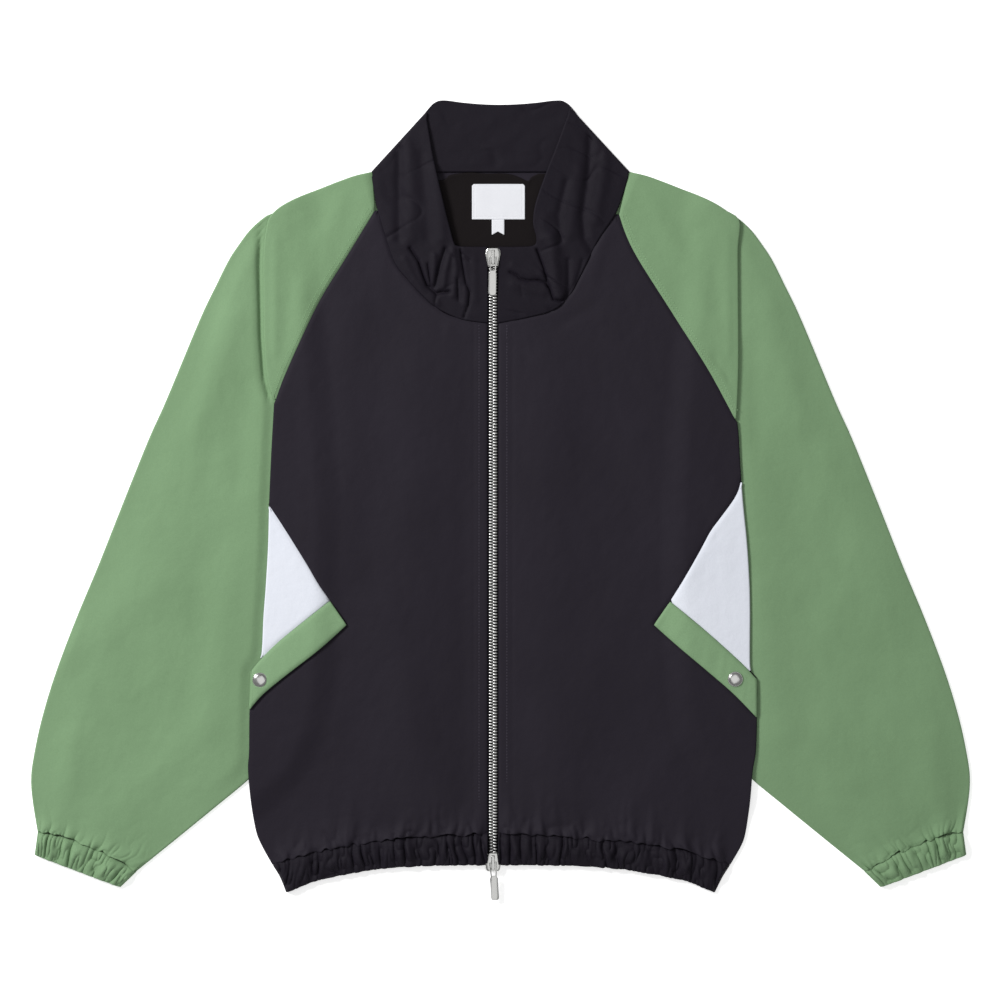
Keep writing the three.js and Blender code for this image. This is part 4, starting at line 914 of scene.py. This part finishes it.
# ---- collar, a double wall from the zip round the back neck to the zip
collarCut = {"rows": 60, "perStation": 20, "backPer": 14, "thickness": 1.9, "lowest": 2.1,
             "arcCols": 11, "arcTop": 3.9, "baseLift": 1.05, "baseSpan": 0.2}
collarFront = {  # share of the neck seam, rim out, rim y, lift of the rim
    "right": [(1, 13.2, 252.5, 2.4), (0.84, 30, 252.5, 2.4), (0.68, 43.5, 253.5, 2.6), (0.56, 47, 257.5, 3),
              (0.45, 50.5, 270, 3.2), (0.34, 55, 287, 3.2), (0.2, 61.5, 315, 3), (0, 68, 345, 2.4)],
    "left": [(1, -1.8, 252.5, 2.4), (0.84, 18, 252.5, 2.4), (0.68, 33.5, 254, 2.6), (0.56, 36, 262, 3),
             (0.45, 33, 276, 3.2), (0.34, 35.5, 296, 3.2), (0.2, 46, 327, 3), (0, 55, 350, 2.4)],
}
collarBack = [  # base out, base y, rim out, rim y, the same on both sides
    (22, 328.8, 12, 395), (62, 328.8, 36, 396.8), (94, 329, 57, 399.3), (108, 329.4, 66.5, 396.8),
    (117, 329.5, 73.9, 389.3)]


def collarHalf(side):
    rows = []
    for share, rimOut, rimY, lift in collarFront[side]:
        base = offsetLine(neckPath[side], max(share, cornerShare), -halfGap * 1.4)
        rows.append((*base, rimOut, rimY, lift))
    start = np.array([*neckSeam[side][0], rimOut, rimY, 2.4])
    end = np.array([*silhouette[0], *collarCorner[side], 0.0])
    rows += [lerp(start, end, k / 2.35) for k in (1, 2)]
    return spread(rows, collarCut["perStation"])


def collarGrid():
    halves = {s: collarHalf(s) for s in sides}
    mirrored = [(-a, b, -c, d) for a, b, c, d in collarBack[::-1]]
    back = spread(mirrored + collarBack, collarCut["backPer"])
    thickness = collarCut["thickness"]
    rows = []
    for t in np.linspace(0, 1, collarCut["rows"]):
        walls, arcs = {}, {}
        for side in sides:
            h = halves[side]
            j = np.arange(len(h)) / (len(h) - 1)
            o, y = lerp(h[:, 0], h[:, 2], t), lerp(h[:, 1], h[:, 3], t)
            x, away = sign[side] * o, smooth(0, 0.1, j)
            wrinkle = (0.35 * noise(x, y, 26, 90, 2.2, 65 * sign[side]) + 0.22 * noise(x, y, 11, 91, 2.2, 60)
                       + 0.13 * noise(x, y, 5, 92, 1.6, 30) + 1.25 * fineCreases(x, y, 97, 62 * sign[side]))
            z = overZ(side, o, y, False) + 0.5 + 0.7 * j + h[:, 4] * t + wrinkle * away - 0.5 * hump(t, 0.05)
            z = z + creased(x, y, collarFolds) * smooth(0, 0.08, j)
            walls[side] = place(side, o, y, np.maximum(z, collarCut["lowest"]))
            neck, corner = np.array(silhouette[0]), np.array(collarCorner[side])
            way = unit(corner - neck)
            centre = lerp(neck + (0, layers["seamGap"]), corner, t)
            arcs[side] = place(side, *foldArc(*centre, (way[1], -way[0]), collarCut["arcTop"], thickness / 2,
                                              thickness, np.linspace(0, math.pi, collarCut["arcCols"])))
        x, y = lerp(back[:, 0], back[:, 2], t), lerp(back[:, 1], back[:, 3], t)
        over = collarCut["baseLift"] * (1 - smooth(0, collarCut["baseSpan"], t))  # its base lies on the back
        soft = 0.75 + 0.6 * noise(x, y, 30, 93, 2.6, 90) + 0.35 * noise(x, y, 13, 94, 2.4, 120)
        soft = soft + 1.1 * fineCreases(x, y, 101, 120) + 0.16 * noise(x, y, 5.5, 102, 1.6, 100)
        room = smooth(0, 30, 112 - np.abs(x)) * smooth(0, 0.15, t)
        behind = np.stack([x, y, thickness / 2 + over + room * np.maximum(0, soft)], -1)
        rows.append(np.vstack([walls["right"], arcs["right"], behind,
                               arcs["left"][::-1], walls["left"][::-1]]))
    return np.stack(rows)


# ---- back neck lining, label and size tab
liningCut = {"out": 88, "bottom": 238, "z": 1.75, "rows": 40, "cols": 150, "thickness": 0.8}
liningTop = [  # x, y of its loose upper edge
    (-88, 322), (-59.7, 319.5), (-50.5, 324.8), (-37.5, 326.9), (-27.5, 327.4), (-13.8, 326.2), (-0.5, 326.5),
    (11.2, 325.4), (19.5, 322.4), (27.5, 318.8), (30.5, 322.4), (36.2, 325.2), (42.5, 326.2), (88, 325),
]
labelCut = {"left": -28.3, "right": 24.2, "top": 316, "bottom": 281, "rows": 80, "cols": 110, "z": 2.95,
            "thick": 0.5, "chamfer": 1.6, "borderDip": 0.14, "borderFrom": 2.3, "borderReach": 0.45}
tabCut = {"left": -8.5, "right": 3.6, "top": 280.6, "bottom": 265.5, "rows": 12, "cols": 13, "notch": 3.4}


def liningGrid():
    x, t = np.meshgrid(np.linspace(-liningCut["out"], liningCut["out"], liningCut["cols"]),
                       np.linspace(0, 1, liningCut["rows"]))
    y = lerp(PlanCurve(liningTop).read(x), liningCut["bottom"], t)
    calm = 1 - hump(np.maximum(np.abs(x + 2) - 26, 0), 14)
    z = liningCut["z"] + 0.35 * calm * noise(x, y, 18, 95, 2.2, 10) + 0.9 * np.exp(-t / 0.05)
    return np.stack([x, y, z], -1)


def flatGrid(cut):
    x, y = np.meshgrid(np.linspace(cut["left"], cut["right"], cut["cols"]),
                       np.linspace(cut["top"], cut["bottom"], cut["rows"]))
    middle, half = (cut["left"] + cut["right"]) / 2, (cut["right"] - cut["left"]) / 2
    return x, y, labelCut["z"] + 0.1 * noise(x, y, 14, 96), middle, half


def labelGrid():
    x, y, z, middle, half = flatGrid(labelCut)
    fromTop = labelCut["top"] - y
    chamfer = np.maximum(0, labelCut["chamfer"] - fromTop)
    x = middle + (x - middle) * (half - chamfer) / half
    border = np.minimum(half - np.abs(x - middle), np.minimum(fromTop, y - labelCut["bottom"]))
    dip = labelCut["borderDip"] * hump(border - labelCut["borderFrom"], labelCut["borderReach"])
    return np.stack([x, y, z - dip], -1)


def tabGrid():
    x, y, z, middle, half = flatGrid(tabCut)
    t = (tabCut["top"] - y) / (tabCut["top"] - tabCut["bottom"])
    return np.stack([x, y + tabCut["notch"] * t ** 2 * (1 - np.abs(x - middle) / half), z], -1)


# ---- zip
chainCut = {"top": 246, "bottom": -362, "pitch": 3.0, "toothOff": 1.95, "toothSize": (1.9, 5.0, 2.3),
            "tapeFrom": 1.9, "tapeTo": 16.55, "tapeEnd": -361, "tapeDrop": 1.15, "tapeThick": 0.6}


def zipZ(y):
    rise = np.clip((y - zipLine["neckY"]) / (zipLine["topY"] - zipLine["neckY"]), 0, 1)
    return overZ("right", -zipLine["x"], y, False) + zipLine["rise"] * rise


def tapeGrid(way):
    across = np.linspace(chainCut["tapeFrom"], chainCut["tapeTo"], 10)
    x, y = np.meshgrid(zipLine["x"] + way * across, np.linspace(zipLine["topY"] - 2, chainCut["tapeEnd"], 150))
    return np.stack([x, y, zipZ(y) - chainCut["tapeDrop"]], -1)


# ---- things that repeat along a path, grown by node trees
def pathTree(name, shape):
    tree = bpy.data.node_groups.new(name, "GeometryNodeTree")
    tree.is_modifier = True
    inputs = {}
    for label, kind in (("Path", "Geometry"), ("Pitch", "Float"), ("Size", "Vector"), ("Uneven", "Float"),
                        ("Finish", "Material")):
        inputs[label] = tree.interface.new_socket(
            label, in_out="INPUT", socket_type="NodeSocket" + kind).identifier
    tree.interface.new_socket("Geometry", in_out="OUTPUT", socket_type="NodeSocketGeometry")
    graph = Graph(tree)
    given = graph.node("NodeGroupInput", output="Path")
    curve = graph.node("GeometryNodeMeshToCurve", sockets={"Mesh": given})
    even = graph.node("GeometryNodeResampleCurve", {"mode": "LENGTH"}, {
        "Curve": curve, "Length": given.out("Pitch")})
    if shape == "stitch":
        body = graph.node("GeometryNodeMeshIcoSphere", sockets={"Radius": 0.5, "Subdivisions": 1})
    else:
        cube = graph.node("GeometryNodeMeshCube", sockets={"Size": (1, 1, 1)})
        body = graph.node("GeometryNodeSubdivisionSurface", sockets={
            "Mesh": cube, "Level": 1, "Edge Crease": 0.72})
    along = graph.node("GeometryNodeInputTangent")
    turn = graph.node("FunctionNodeAlignRotationToVector", {"axis": "X"}, {"Vector": along})
    jitter = graph.node("FunctionNodeRandomValue", {"data_type": "FLOAT"}, {2: -1.0, 3: 1.0, "Seed": 7}, 1)
    uneven = graph.node("ShaderNodeMath", {"operation": "MULTIPLY_ADD"}, {
        0: jitter, 1: given.out("Uneven"), 2: 1.0})
    size = graph.node("ShaderNodeVectorMath", {"operation": "SCALE"}, {0: given.out("Size"), "Scale": uneven})
    placed = graph.node("GeometryNodeInstanceOnPoints", sockets={
        "Points": even, "Instance": body, "Rotation": turn, "Scale": size})
    real = graph.node("GeometryNodeRealizeInstances", sockets={"Geometry": placed})
    smoothed = graph.node("GeometryNodeSetShadeSmooth", sockets={"Geometry": real})
    painted = graph.node("GeometryNodeSetMaterial", sockets={
        "Geometry": smoothed, "Material": given.out("Finish")})
    graph.node("NodeGroupOutput", sockets={0: painted})
    return tree, inputs


def grow(name, lines, treeAndInputs, pitch, size, uneven, finish, slotName):
    tree, inputs = treeAndInputs
    spots, edges = [], []
    for line in lines:
        start = len(spots)
        spots += (np.asarray(line) * mm).tolist()
        edges += [(start + k, start + k + 1) for k in range(len(line) - 1)]
    mesh = bpy.data.meshes.new(name + " path")
    mesh.from_pydata(spots, edges, [])
    carrier = link(name + " path", mesh)
    modifier = carrier.modifiers.new("grow", "NODES")
    modifier.node_group = tree
    values = {"Pitch": pitch * mm, "Size": [s * mm for s in size], "Uneven": uneven, "Finish": finish}
    for label, value in values.items():
        modifier[inputs[label]] = value
    bpy.context.view_layer.update()
    evaluated = carrier.evaluated_get(bpy.context.evaluated_depsgraph_get())
    grown = bpy.data.meshes.new_from_object(evaluated)
    grown.name = name
    bpy.data.objects.remove(carrier)
    return addPiece(name, grown, None, "jacket", slotName)


# ---- assembling
def cloth(name, grid, kind, restsOn, grain=None, ring=False):
    slotName, material, thickness = kind
    mesh = wallMesh(name + "_cloth", grid, thickness, ring, grain)
    piece = addPiece(name + "_cloth", mesh, material, "jacket", slotName, [name])
    area = areaOf(grid, ring)
    print("cloth piece:", name, "area", round(area, 4), "faces", len(mesh.polygons))


# Slot, material and thickness of what is cut from the same cloth
blackShell = ("black_shell", black, layers["cloth"])
greenShell = ("green_shell", green, layers["cloth"])
labelKind = ("label_cloth", labelCloth, labelCut["thick"])
for side, way in sign.items():
    front, sleeve = "front_" + side, "sleeve_" + side
    cloth(front, frontGrid(side), blackShell, ["back"], 0)
    cloth("shoulder_" + side, shoulderGrid(side), greenShell, [sleeve], 25 * way)
    cloth(sleeve, sleeveGrid(side), greenShell, ["back"], 22 * way, True)
    cloth("cuff_" + side, cuffGrid(side), ("green_shell", green, layers["casing"]), [sleeve],
          ring=True)
    cloth("side_insert_" + side, insertGrid(side), ("white_shell", white, layers["cloth"]),
          [front, "back"], 0)
    # The pocket welts get the lighter green copy: painted light
    cloth("pocket_welt_" + side, weltGrid(side), ("green_shell", greenPaintedLight, weltCut["thickness"]),
          [front])
cloth("back", backGrid(), blackShell, ["sleeve_right", "sleeve_left"], 0)
# The hem casing and the collar get the darker black copy: painted shade
cloth("hem_casing", hemGrid(), ("black_shell", blackPaintedShade, layers["casing"]), ["back"])
cloth("collar", collarGrid(), ("black_shell", blackPaintedShade, collarCut["thickness"]), ["back"])
cloth("back_lining", liningGrid(), ("lining", liningCloth, liningCut["thickness"]), ["back"], 0)
cloth("neck_label", labelGrid(), labelKind, ["back_lining"], 0)
cloth("size_tab", tabGrid(), labelKind, ["back_lining"], 0)
for side, way in sign.items():
    cloth("zip_tape_" + side, tapeGrid(way), ("zip_tape", tapeCloth, chainCut["tapeThick"]),
          ["front_" + side])
print("cloth done")

teeth = pathTree("zip teeth", "tooth")
for side, way, shift in (("right", -1, 0), ("left", 1, chainCut["pitch"] / 2)):
    y = np.arange(chainCut["top"], chainCut["bottom"], -chainCut["pitch"] / 4) - shift
    line = np.stack([np.full(len(y), zipLine["x"] + way * chainCut["toothOff"]), y, zipZ(y)], -1)
    row = grow("zip_teeth_" + side, [line], teeth, chainCut["pitch"], chainCut["toothSize"], 0.02, toothMetal,
               "silver_metal")
    if side == "right":
        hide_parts("zip_chain")
print("zip teeth done")

stitch = pathTree("stitches", "stitch")
stitchSet = {"pitch": 3.0, "size": (2.2, 0.65, 0.4), "uneven": 0.08, "above": 0.47, "besideZip": 8.2,
             "besideRaglan": (3.0, 6.5), "onWelt": ((0.12, 0.95), (0.88, 0.85))}


def stitchLine(side, out, y, lift=0.0):
    return place(side, out, y, overZ(side, out, y) + stitchSet["above"] + lift)


stitchLines = {"black": [], "green": []}
for side in sides:
    y = np.linspace(zipLine["neckY"] - 3, zipLine["hemY"] + 4, 200)
    stitchLines["black"].append(stitchLine(side, frontEdge[side] + stitchSet["besideZip"], y))
    for away in stitchSet["besideRaglan"]:
        line = offsetLine(raglanPath[side], np.linspace(0.03, 0.97, 90), away)
        stitchLines["green"].append(stitchLine(side, *line))
    for t, lift in stitchSet["onWelt"]:  # share of the strip's width, height
        spots = weltSpots(side, np.linspace(0.03, 0.96, 60), t)
        stitchLines["green"].append(stitchLine(side, *spots.T, lift + weltCut["lean"][side] * t))
# The green stitches use the lightened thread: painted highlight
for colour, thread in (("black", blackThread), ("green", greenThreadPaintedHighlight)):
    grow(colour + "_stitches", stitchLines[colour], stitch, stitchSet["pitch"], stitchSet["size"],
         stitchSet["uneven"], thread, colour + "_shell")
print("stitches done")


# ---- metal pieces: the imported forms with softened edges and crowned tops
metalCut = {"bevel": {"slider": 0.6, "pull": 0.4}, "crown": {"slider": 0.75, "pull": 0.5}, "grid": 0.6,
            "cell": (1.2, 2.2), "sharp": 35, "shadeSharp": 40, "merge": 1e-6}


def crownTop(edit, height):  # flat upward faces turn down towards their long edges
    low, high = (Vector([pick(v.co[k] for v in edit.verts) for k in range(3)]) for pick in (min, max))
    for axis in (0, 1):
        normal = Vector((1 - axis, axis, 0))
        for spot in np.arange(low[axis] + 0.0003, high[axis], metalCut["grid"] * mm):
            bmesh.ops.bisect_plane(edit, geom=edit.verts[:] + edit.edges[:] + edit.faces[:], dist=1e-7,
                                   plane_co=normal * float(spot), plane_no=normal)
    edit.normal_update()
    centre, halves, up = (low.x + high.x) / 2, {}, []
    for v in edit.verts:
        if v.normal.z > 0.35:
            key = tuple(round(v.co[k] / (cell * mm)) for k, cell in zip((1, 2), metalCut["cell"]))
            halves[key] = max(halves.get(key, 1e-4), abs(v.co.x - centre))
            up.append((v, key))
    for v, key in up:
        share = abs(v.co.x - centre) / halves[key]
        v.co.z -= height * mm * min(1, halves[key] / (5 * mm)) * (share ** 4 - 0.25)


def metalPiece(name, edit, body, node):
    mesh = bpy.data.meshes.new(name)
    edit.to_mesh(mesh)
    edit.free()
    mesh.shade_smooth()
    addPiece(name, mesh, silver, body, "silver_metal", [node])
    return mesh


for node in ("slider_top", "slider_bottom", "pull_top", "pull_bottom"):
    kind = node.split("_")[0]
    edit = bmesh.new()
    edit.from_mesh(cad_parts[node].data)
    bmesh.ops.remove_doubles(edit, verts=edit.verts, dist=metalCut["merge"])
    bmesh.ops.dissolve_limit(edit, angle_limit=math.radians(2), verts=edit.verts, edges=edit.edges)
    bmesh.ops.recalc_face_normals(edit, faces=edit.faces)
    sharp = [e for e in edit.edges
             if len(e.link_faces) == 2 and e.calc_face_angle() > math.radians(metalCut["sharp"])]
    bmesh.ops.bevel(edit, geom=sharp, offset=metalCut["bevel"][kind] * mm, segments=3, profile=0.6,
                    affect="EDGES", clamp_overlap=True)
    crownTop(edit, metalCut["crown"][kind])
    bmesh.ops.triangulate(edit, faces=edit.faces)
    mesh = metalPiece(node + "_metal", edit, node if kind == "pull" else "jacket", node)
    mesh.set_sharp_from_angle(angle=math.radians(metalCut["shadeSharp"]))

snapCut = {"radius": 7.5, "rim": 1.1, "dome": 3.1, "steps": 56, "lift": 0.4}
r, rim, dome = snapCut["radius"], snapCut["rim"], snapCut["dome"]
profile = [(0, 0), (r - 0.8, 0), (r - 0.2, 0.25), (r, 0.6), (r - 0.12, rim - 0.2), (r - 0.45, rim + 0.05)]
profile += [(r * 0.92 * math.cos(a), rim - 0.1 + (dome - rim + 0.1) * math.sin(a))
            for a in np.linspace(0, math.pi / 2, 14)]
for side in sides:
    edit = bmesh.new()
    verts = [edit.verts.new((out * mm, 0, z * mm)) for out, z in profile]
    edges = [edit.edges.new(pair) for pair in zip(verts[:-1], verts[1:])]
    bmesh.ops.spin(edit, geom=verts + edges, cent=(0, 0, 0), axis=(0, 0, 1), angle=math.tau,
                   steps=snapCut["steps"])
    bmesh.ops.remove_doubles(edit, verts=edit.verts, dist=metalCut["merge"])
    bmesh.ops.recalc_face_normals(edit, faces=edit.faces)
    low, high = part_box("snap_" + side)
    bmesh.ops.translate(edit, verts=edit.verts, vec=(
        (low.x + high.x) / 2, (low.y + high.y) / 2, low.z + snapCut["lift"] * mm))
    metalPiece("snap_dome_" + side, edit, "jacket", "snap_" + side)
print("metal pieces done")

# ---- studio
studio = {"floor": 0.9, "floorGlow": 0.5, "floorZ": -0.0006, "floorHalf": 6, "world": 0.3, "keyPower": 108,
          "topPower": 27, "camera": (-0.0005, 0.0005, 3.0), "lens": 108}
half, z = studio["floorHalf"], studio["floorZ"]
floorMesh = bpy.data.meshes.new("studio_floor")
floorMesh.from_pydata([(-half, -half, z), (half, -half, z), (half, half, z), (-half, half, z)], [],
                      [(0, 1, 2, 3)])
floorMesh.materials.append(Surface("studio paper").finish({
    "Base Color": (studio["floor"],) * 3 + (1,), "Roughness": 0.9, "Specular IOR Level": 0.0,
    "Emission Color": (1, 1, 1, 1), "Emission Strength": studio["floorGlow"]}))
link("studio_floor", floorMesh)

for name, power, size, spot in (("key light", studio["keyPower"], 0.9, (-2.2, 1.4, 2.1)),
                                ("top light", studio["topPower"], 3.0, (0.2, -0.3, 3.6))):
    data = bpy.data.lights.new(name, "AREA")
    data.energy, data.size = power, size
    lamp = link(name, data)
    lamp.location = spot
    lamp.rotation_mode = "QUATERNION"
    lamp.rotation_quaternion = (-Vector(spot)).to_track_quat("-Z", "Y")  # aimed at the origin

scene = bpy.context.scene
scene.world = bpy.data.worlds.new("studio world")
scene.world.use_nodes = True
background = scene.world.node_tree.nodes["Background"]
background.inputs["Color"].default_value = (1, 1, 1, 1)
background.inputs["Strength"].default_value = studio["world"]
scene.view_settings.view_transform = "Standard"

cameraData = bpy.data.cameras.new("camera")
cameraData.lens, cameraData.sensor_width = studio["lens"], 36
cameraData.clip_start, cameraData.clip_end = 0.1, 20
scene.camera = link("camera", cameraData)
scene.camera.location = studio["camera"]
print("studio ready")
